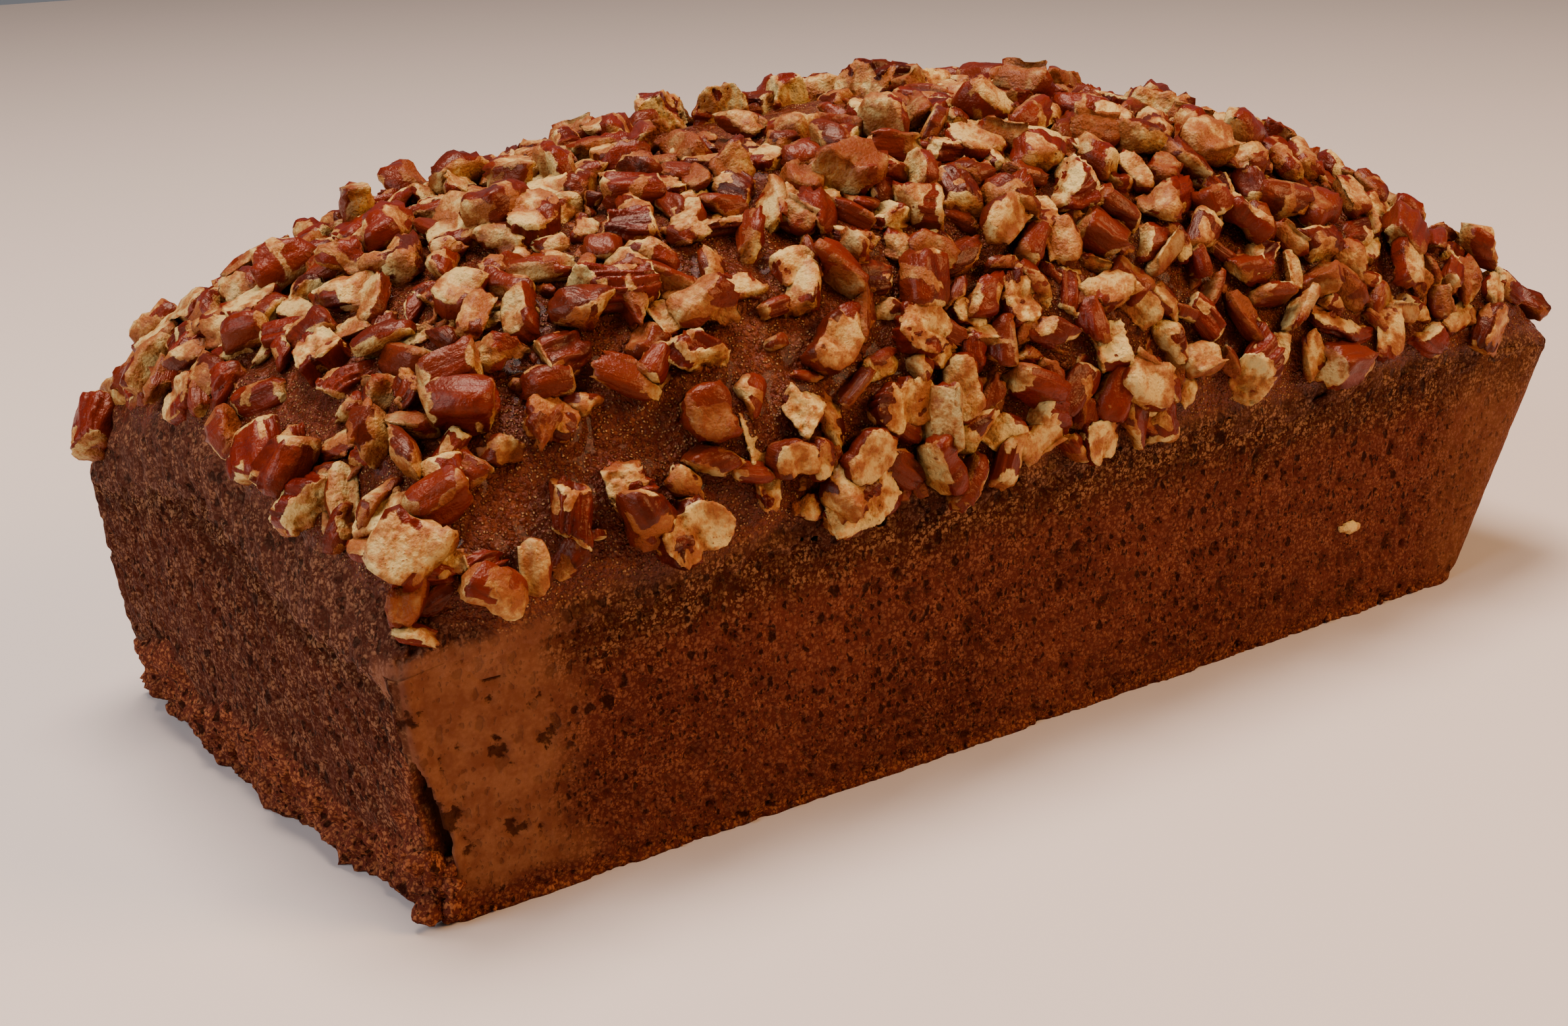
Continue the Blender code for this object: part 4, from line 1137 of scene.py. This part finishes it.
def loaf_material(name, colors, gloss):
    """Sticky browned crust above, matt porous crumb at the sides, smooth skin at the folds, torn foot."""
    look, web, shader, place = new_material(name)
    crust, band, skin, pore, torn, glaze = map(web.mask, ("crust", "band", "skin", "pore", "torn", "glaze"))
    wide = web.group("Browning", place, 0.028, 5.0)["Mask"]
    close = web.group("Browning", place, 0.0030, 3.0)["Mask"]
    crumb = web.group("Food Grain", place, 0.0012, 0.42)
    fine = web.group("Food Grain", place, 0.00042, 0.40)["Height"]
    sugar_and_glints = web.group("Food Grain", place, 0.00058, 0.44)
    sponge = web.group("Food Grain", place, 0.0008, 0.40)["Height"]
    cells = web.ramp(web.sum((sponge, 0.60), (fine, 0.40)), 0.30, 0.46)
    drawn = web.add("VectorMath", {0: place, 1: (1.0, 1.0, 0.72)}, operation="MULTIPLY")
    holes = web.group("Crumb Pores", drawn, 0.0027, 0.33, 0.75)["Mask"]
    holes = web.math("MAXIMUM", holes, web.group("Crumb Pores", drawn, 0.0015, 0.34, 0.80)["Mask"])
    tiny = web.times(web.group("Crumb Pores", drawn, 0.0008, 0.34, 0.85)["Mask"], 0.85)
    holes = web.times(web.math("MAXIMUM", holes, tiny), web.swing(skin, 1.0, 0.30))
    # Painted shade inside the holes and pores, lighter in the pits of the smooth skin.
    inside = web.layer(colors.pore, colors.band, skin, 0.35)

    side = web.mix(wide, colors.crumb_dark, colors.crumb)
    side = web.layer(side, colors.crumb_light, cells, web.swing(close, 0.30, 0.80))
    # Light specks of crumb: partly lighter crumb, partly painted glints.
    specks = web.ramp(sugar_and_glints["Specks"], 0.25, 0.75)
    side = web.layer(side, colors.torn, specks, web.ramp(close, 0.3, 0.9, 0.0, 0.55))
    side = web.layer(side, web.mix(web.swing(close, 0.35, 0.85), colors.crumb, colors.skin), skin, 0.92)
    matt = web.layer(colors.band, colors.grey_crumb, cells, web.ramp(close, 0.25, 0.75, 0.22, 1.0))
    side = web.layer(side, matt, band, 0.85)
    clump = web.layer(colors.crumb, colors.torn, cells, web.swing(close, 0.45, 1.0))
    side = web.layer(side, clump, torn, 0.9)
    # Holes and pores darkened with painted shade.
    side = web.layer(side, inside, holes, 0.88)
    ragged_pore = web.math("ADD", pore, web.sum((fine, 1.1, 0.38)))
    side = web.mix(web.ramp(ragged_pore, 0.30, 0.75, 0.0, 0.80), side, inside)

    top = web.mix(wide, colors.crust_dark, colors.crust)
    top = web.layer(top, colors.crust_light, cells, web.swing(close, 0.25, 0.90))
    top = web.layer(top, colors.crust_dark, glaze, 0.45)
    # Sugar grains lightened into painted glints: light specks painted on the crust in place of highlights.
    glints = web.ramp(sugar_and_glints["Specks"], 0.20, 0.75)
    top = web.layer(top, colors.sugar_and_glints, glints, web.ramp(close, 0.2, 0.75, 0.12, 0.80))
    # Pores and the cleft on the crust darkened with painted shade.
    top = web.layer(top, colors.pore, pore, 0.9)

    low = web.times(web.sum((crumb["Height"], 0.55), (sponge, 0.30)), web.swing(skin, 1.0, 0.25))
    low = web.math("SUBTRACT", low, web.times(holes, 0.7))
    high = web.sum((close, 0.50), (fine, 0.22), (sugar_and_glints["Granules"], 0.50), (crumb["Granules"], 0.34))
    height, strength = web.mix_values(crust, low, high), web.swing(crust, 0.75, 1.0)
    rough_side, rough_top = web.swing(cells, 0.90, 0.66), web.ramp(close, 0.2, 0.9, 0.17, 0.36)
    web.feed(shader, {
        "Base Color": web.mix(crust, side, top),
        "Roughness": web.mix_values(crust, rough_side, rough_top),
        "Coat Weight": web.times(crust, web.ramp(close, 0.2, 0.8, 0.05, 0.02)),
        "Coat Roughness": 0.07,
        "Specular IOR Level": gloss,
        "Specular Tint": colors.crust_shine,
        "Normal": web.add("Bump", {"Height": height, "Strength": strength, "Distance": 0.0008}),
    })
    return look


def pecan_material(name, colors):
    """Red-brown streaked skin, cream broken faces with brown specks, and a foot dark with glaze and painted
    shade.
    """
    look, web, shader, place = new_material(name)
    tint, foot, toast = map(web.mask, ("tint", "foot", "toast"))
    along = web.add("Attribute", {}, "Vector", attribute_name="grain_place")
    streaks = web.group("Browning", along, 0.42, 3.0)["Mask"]
    patches = web.group("Browning", place, 0.0042, 4.0)["Mask"]
    close = web.group("Browning", place, 0.0016, 3.0)["Mask"]
    grains = web.group("Food Grain", place, 0.00062, 0.33)
    flesh = web.ramp(web.math("ADD", web.mask("flesh"), web.sum((close, 0.40, 0.5))), 0.40, 0.60)

    skin = web.mix(web.ramp(tint, 0.1, 0.9), colors.skin_red, colors.skin_dark)
    skin = web.layer(skin, colors.skin_light, streaks, web.ramp(patches, 0.2, 0.8, 0.10, 0.55))
    skin = web.mix(web.ramp(streaks, 0.40, 0.10, 0.0, 0.6), skin, colors.skin_dark)
    # Browning rises towards the foot as painted warm shade, besides toasting.
    browned = web.sum((toast, 0.75), (patches, 0.9, 0.5), (tint, 0.35, 0.5), (foot, 0.40), (close, 0.45, 0.5))
    meat = web.mix(web.ramp(browned, 0.0, 0.50), colors.flesh_cream, colors.flesh_tan)
    meat = web.mix(web.ramp(browned, 0.35, 0.95, 0.0, 0.85), meat, colors.flesh_toasted)
    specks = web.ramp(grains["Specks"], 0.2, 0.7)
    meat = web.layer(meat, colors.flesh_toasted, specks, web.ramp(close, 0.3, 0.8, 0.1, 0.9))
    edge = web.times(web.ramp(flesh, 0.0, 0.5), web.ramp(flesh, 1.0, 0.5))
    color = web.layer(web.mix(flesh, skin, meat), colors.skin_red, edge, 0.7)

    height = web.sum(
        (grains["Height"], web.swing(flesh, 0.16, 0.9)),
        (close, web.swing(flesh, 0.36, 0.8)),
        (streaks, web.swing(flesh, 0.60, 0.1)),
    )
    web.feed(shader, {
        # Glaze at the foot, partly real and partly painted shade.
        "Base Color": web.layer(color, colors.glaze, foot, 0.68),
        "Roughness": web.mix_values(flesh, 0.29, 0.42),
        "Coat Weight": 0.03,
        "Coat Roughness": 0.12,
        "Specular IOR Level": 0.22,
        "Specular Tint": colors.shine,
        "Normal": web.add("Bump", {"Height": height, "Strength": 0.7, "Distance": 0.0004}),
    })
    return look


def floor_material(name, colors):
    look, web, shader, place = new_material(name)
    clouds = web.group("Browning", place, 0.25, 6.0)["Mask"]
    color = web.layer(colors.floor, colors.floor_dark, clouds, 0.06)
    web.feed(shader, {"Base Color": color, "Roughness": 0.55})
    return look


# Each material with its maker, what the maker also takes, and a slot name.
LOOKS = {
    "porous_crumb": (loaf_material, (0.10,), "crust"),
    "sticky_crust": (loaf_material, (0.32,), "crust"),
    "glazed_pecan": (pecan_material, (), "pecan"),
    "pale_floor": (floor_material, (), None),
}


def look_named(name, scene):
    make, numbers, _ = LOOKS[name]
    return bpy.data.materials.get(name) or make(name, scene.bread_colors, *numbers)


# Settings

def length_setting(name, description, default):
    return bpy.props.FloatProperty(
        name=name, description=description, default=default, unit="LENGTH", min=0.0, precision=5)


def count_setting(name, description, default):
    return bpy.props.IntProperty(name=name, description=description, default=default, min=0)


def color_setting(name, description, default):
    return bpy.props.FloatVectorProperty(
        name=name, description=description, default=default, size=3, subtype="COLOR", min=0.0, max=1.0)


class BreadSizes(bpy.types.PropertyGroup):
    """Sizes that a user would change"""

    pore_depth: length_setting("Pore Depth", "How deep the widest pores of the crumb go", 0.0011)
    glaze_swell: length_setting("Glaze Swell", "How far the sticky crust climbs round each nut", 0.0008)
    crust_lip: length_setting("Crust Lip", "How far the crust stands out over the walls", 0.0002)
    fill_longest: length_setting("Longest Fill", "Longest of the pieces that fill the gaps", 0.0108)
    fill_shortest: length_setting("Shortest Fill", "Shortest of the pieces that fill the gaps", 0.0050)
    bit_longest: length_setting("Longest Bit", "Longest of the finest bits", 0.0040)
    bit_shortest: length_setting("Shortest Bit", "Shortest of the finest bits", 0.0016)
    fill_count: count_setting("Fill", "Number of pieces that fill the gaps", 760)
    bit_count: count_setting("Bits", "Number of the finest bits", 430)


class BreadColors(bpy.types.PropertyGroup):
    """Colours that a user would change"""

    crumb: color_setting("Crumb", "Brown of the crumb at the sides", (0.082, 0.0145, 0.0072))
    crumb_dark: color_setting("Dark Crumb", "Darker patches of the crumb", (0.048, 0.0075, 0.0038))
    crumb_light: color_setting("Light Crumb", "Lighter mottles of the crumb", (0.172, 0.05, 0.024))
    # Painted shade inside the pores, the pits, the cleft and the split.
    pore: color_setting("Pore", "Inside of the pores", (0.01, 0.0012, 0.0003))
    skin: color_setting("Smooth Skin", "Smooth skin at the folds", (0.18, 0.064, 0.027))
    band: color_setting("Band", "Dark band just under the crust", (0.026, 0.0038, 0.0009))
    grey_crumb: color_setting("Grey Crumb", "Greyer grains of the near end", (0.205, 0.087, 0.0345))
    torn: color_setting("Torn Crumb", "Crumb torn open at the near foot", (0.3, 0.086, 0.026))
    crust: color_setting("Crust", "Browned crust", (0.088, 0.0098, 0.0024))
    crust_dark: color_setting("Dark Crust", "Darkest crust, and glaze round the nuts", (0.056, 0.0042, 0.001))
    crust_light: color_setting("Light Crust", "Sugary lighter crust", (0.15, 0.03, 0.0075))
    # Colour of the sugar grains and of the glints painted on them as highlights.
    sugar_and_glints: color_setting("Sugar", "Sugar grains on the crust", (0.64, 0.3, 0.105))
    # Glaze at the nuts' feet, also standing in for their shade.
    glaze: color_setting("Glaze", "Glaze that the feet of the nuts sit in", (0.13, 0.013, 0.002))
    crust_shine: color_setting("Crust Shine", "Tint of the highlights on the crust", (1.0, 0.46, 0.25))
    shine: color_setting("Nut Shine", "Tint of the highlights on the nuts", (1.0, 0.62, 0.38))
    skin_red: color_setting("Red Skin", "Red-brown pecan skin", (0.098, 0.0032, 0.0006))
    skin_dark: color_setting("Dark Skin", "Darkest pecan skin", (0.03, 0.0014, 0.0004))
    skin_light: color_setting("Light Skin", "Lightest pecan skin", (0.2, 0.017, 0.003))
    flesh_cream: color_setting("Cream Flesh", "Broken face of a fresh pecan", (0.58, 0.37, 0.118))
    flesh_tan: color_setting("Tan Flesh", "Broken face browned a little", (0.43, 0.19, 0.045))
    flesh_toasted: color_setting("Toasted Flesh", "Toasted specks of a broken face", (0.22, 0.046, 0.0075))
    floor: color_setting("Floor", "Plain pale floor", (0.63, 0.487, 0.412))
    floor_dark: color_setting("Floor Clouds", "Faint darker clouds of the floor", (0.52, 0.395, 0.325))


# Operators

class BREAD_OT_stage(bpy.types.Operator):
    """Set up the floor, the lights and the camera"""

    bl_idname = "bread.stage"
    bl_label = "Stage"

    def execute(self, context):
        set_camera(context.scene)
        set_floor(context.scene)
        set_lights(context.scene)
        return {"FINISHED"}


class BREAD_OT_walls(bpy.types.Operator):
    """Model the loaf's porous walls and its base"""

    bl_idname = "bread.walls"
    bl_label = "Walls"

    def execute(self, context):
        made = wall_grid()
        shape_walls(made, context.scene.bread_sizes)
        finish_piece(made, "bread_walls", context.scene, "porous_crumb", "loaf")
        return {"FINISHED"}


class BREAD_OT_crust(bpy.types.Operator):
    """Model the browned crust over the dome"""

    bl_idname = "bread.crust"
    bl_label = "Crust"

    def execute(self, context):
        large = footprints(large_rows())
        small = footprints(small_rows(large))
        made = crust_grid()
        shape_crust(made, context.scene.bread_sizes, large + small)
        finish_piece(made, "bread_crust", context.scene, "sticky_crust", "loaf")
        return {"FINISHED"}


class BREAD_OT_large_pecans(bpy.types.Operator):
    """Model the large pecan pieces, one for each solid"""

    bl_idname = "bread.large_pecans"
    bl_label = "Large Pecans"

    def execute(self, context):
        rows = large_rows()
        nuts, faces, matrices = [], [], []
        for number, (a, c, length, width, heading, tip, form, _) in enumerate(rows, 1):
            nut, planes, unit_matrix = chopped_pecan(form, length, width, number)
            lying = lying_matrix(a, c, heading, tip)
            nut.data.transform(lying)
            nuts.append(nut)
            matrices.append((lying @ unit_matrix, lying))
            faces.append(moved_planes(planes, lying @ unit_matrix))
        context.view_layer.update()
        extra = part_pieces(nuts)
        for number, nut in enumerate(nuts):
            planes = faces[number] + extra[number]
            weather(nut, planes, *matrices[number], LARGE_VOXEL, number + 1, LARGE_RELIEF)
            write_mask(nut.data, "tint", rows[number][-1])
            name = f"{number + 1:02d}"
            finish_piece(nut, "pecan_piece_" + name, context.scene, "glazed_pecan", "pecan_" + name)
        return {"FINISHED"}


class BREAD_OT_small_pecans(bpy.types.Operator):
    """Model the smaller pecan pieces that are fused to the loaf's solid"""

    bl_idname = "bread.small_pecans"
    bl_label = "Small Pecans"

    def execute(self, context):
        made = place_kinds(small_rows(footprints(large_rows())), *SMALL_KINDS)
        half = len(made) // 2
        finish_nuts(made[:half], "small_pecans_a", context.scene)
        finish_nuts(made[half:], "small_pecans_b", context.scene)
        return {"FINISHED"}


class BREAD_OT_pecan_bits(bpy.types.Operator):
    """Model the chopped bits that fill the gaps between the larger pieces"""

    bl_idname = "bread.pecan_bits"
    bl_label = "Pecan Bits"

    def execute(self, context):
        sizes = context.scene.bread_sizes
        taken = footprints(large_rows())
        taken += footprints(small_rows(taken))
        fill = bit_rows(sizes.fill_count, FILL_SEED, sizes.fill_shortest, sizes.fill_longest, 0.0, taken)
        made = place_kinds(fill, *FILL_KINDS)
        third = len(made) // 3
        finish_nuts(made[:third], "pecan_fill_a", context.scene)
        finish_nuts(made[third:-third], "pecan_fill_b", context.scene)
        finish_nuts(made[-third:], "pecan_fill_c", context.scene)
        taken += footprints(fill)
        bits = bit_rows(sizes.bit_count, BIT_SEED, sizes.bit_shortest, sizes.bit_longest, BITS_ON_BARE, taken)
        finish_nuts(place_kinds(bits, *BIT_KINDS), "pecan_bits", context.scene)
        return {"FINISHED"}


class BREAD_OT_crumbs(bpy.types.Operator):
    """Model the clump and the loose crumbs at the foot, and the fleck of nut in the front wall"""

    bl_idname = "bread.crumbs"
    bl_label = "Crumbs"

    def execute(self, context):
        made = join(scatter_crumbs(CRUMB_SEED))
        finish_piece(made, "loose_crumbs", context.scene, "porous_crumb", "loaf")
        kind = crumb_kinds(1, 3)[0]
        fleck = copy_of(kind, Matrix.Translation(FLECK_PLACE) @ Matrix.Diagonal(FLECK_SIZE).to_4x4(), 0.0)
        bpy.data.objects.remove(kind)
        write_masks(fleck.data, flesh=1.0, toast=0.75, foot=0.0)
        finish_piece(fleck, "nut_fleck", context.scene, "glazed_pecan", "loaf")
        return {"FINISHED"}


# Camera, floor and lights

def set_camera(scene):
    """The photograph's viewing angle."""
    level = math.cos(CAMERA_PITCH)
    ahead = Vector((math.sin(CAMERA_YAW) * level, math.cos(CAMERA_YAW) * level, -math.sin(CAMERA_PITCH)))
    right = Vector((math.cos(CAMERA_YAW), -math.sin(CAMERA_YAW), 0.0))
    up = right.cross(ahead)
    tilted_right = right * math.cos(CAMERA_ROLL) + up * math.sin(CAMERA_ROLL)
    tilted_up = up * math.cos(CAMERA_ROLL) - right * math.sin(CAMERA_ROLL)
    matrix = Matrix((tilted_right, tilted_up, -ahead)).transposed().to_4x4()
    matrix.translation = CAMERA_PLACE
    data = bpy.data.cameras.new("camera")
    data.lens = CAMERA_LENS
    data.sensor_width = CAMERA_SENSOR
    data.clip_start = 0.01
    camera = bpy.data.objects.new("camera", data)
    camera.matrix_world = matrix
    scene.collection.objects.link(camera)
    scene.camera = camera


def set_floor(scene):
    """A plain pale floor whose edge falls away out of sight."""
    deselect()
    bpy.ops.mesh.primitive_circle_add(vertices=64, radius=FLOOR_RADIUS, fill_type="NGON")
    floor = bpy.context.object
    bpy.ops.object.mode_set(mode="EDIT")
    bpy.ops.mesh.select_all(action="SELECT")
    bpy.ops.mesh.inset(thickness=FLOOR_RADIUS / 4.0)
    bpy.ops.object.mode_set(mode="OBJECT")
    points = read_points(floor.data)
    points[np.hypot(points[:, 0], points[:, 1]) > 0.9 * FLOOR_RADIUS, 2] -= FLOOR_DROP
    write_points(floor.data, points)
    floor.name = "floor"
    floor.data.materials.append(look_named("pale_floor", scene))


def set_lights(scene):
    """A cool window from the left, a warm lamp from the right and a soft light from above, in a dim room."""
    scene.world = bpy.data.worlds.new("soft_room")
    scene.world.use_nodes = True
    back = scene.world.node_tree.nodes["Background"].inputs
    back["Color"].default_value = ROOM_COLOR
    back["Strength"].default_value = ROOM_STRENGTH
    for name, place, target, size, power, color in LIGHTS:
        data = bpy.data.lights.new(name, "AREA")
        data.shape = "RECTANGLE"
        data.size, data.size_y = size
        data.energy = power
        data.color = color
        light = bpy.data.objects.new(name, data)
        turn = (Vector(target) - Vector(place)).to_track_quat("-Z", "Y").to_matrix().to_4x4()
        light.matrix_world = Matrix.Translation(place) @ turn
        scene.collection.objects.link(light)


class BREAD_PT_panel(bpy.types.Panel):
    """Lists the pieces and the settings of the banana bread"""

    bl_label = "Banana Bread"
    bl_idname = "BREAD_PT_panel"
    bl_space_type = "VIEW_3D"
    bl_region_type = "UI"
    bl_category = "Banana Bread"

    def draw(self, context):
        column = self.layout.column()
        for operator in STEPS:
            column.operator(operator.bl_idname)
        for settings in (context.scene.bread_sizes, context.scene.bread_colors):
            for key in settings.__annotations__:
                column.prop(settings, key)


STEPS = (
    BREAD_OT_stage,
    BREAD_OT_walls,
    BREAD_OT_crust,
    BREAD_OT_large_pecans,
    BREAD_OT_small_pecans,
    BREAD_OT_pecan_bits,
    BREAD_OT_crumbs,
)
CLASSES = (BreadSizes, BreadColors, *STEPS, BREAD_PT_panel)


def register():
    for made in CLASSES:
        bpy.utils.register_class(made)
    bpy.types.Scene.bread_sizes = bpy.props.PointerProperty(type=BreadSizes)
    bpy.types.Scene.bread_colors = bpy.props.PointerProperty(type=BreadColors)


def unregister():
    del bpy.types.Scene.bread_colors
    del bpy.types.Scene.bread_sizes
    for made in reversed(CLASSES):
        bpy.utils.unregister_class(made)


def main():
    register()
    bpy.ops.bread.stage()
    bpy.ops.bread.walls()
    bpy.ops.bread.crust()
    bpy.ops.bread.large_pecans()
    bpy.ops.bread.small_pecans()
    bpy.ops.bread.pecan_bits()
    bpy.ops.bread.crumbs()


if __name__ == "__main__":
    main()
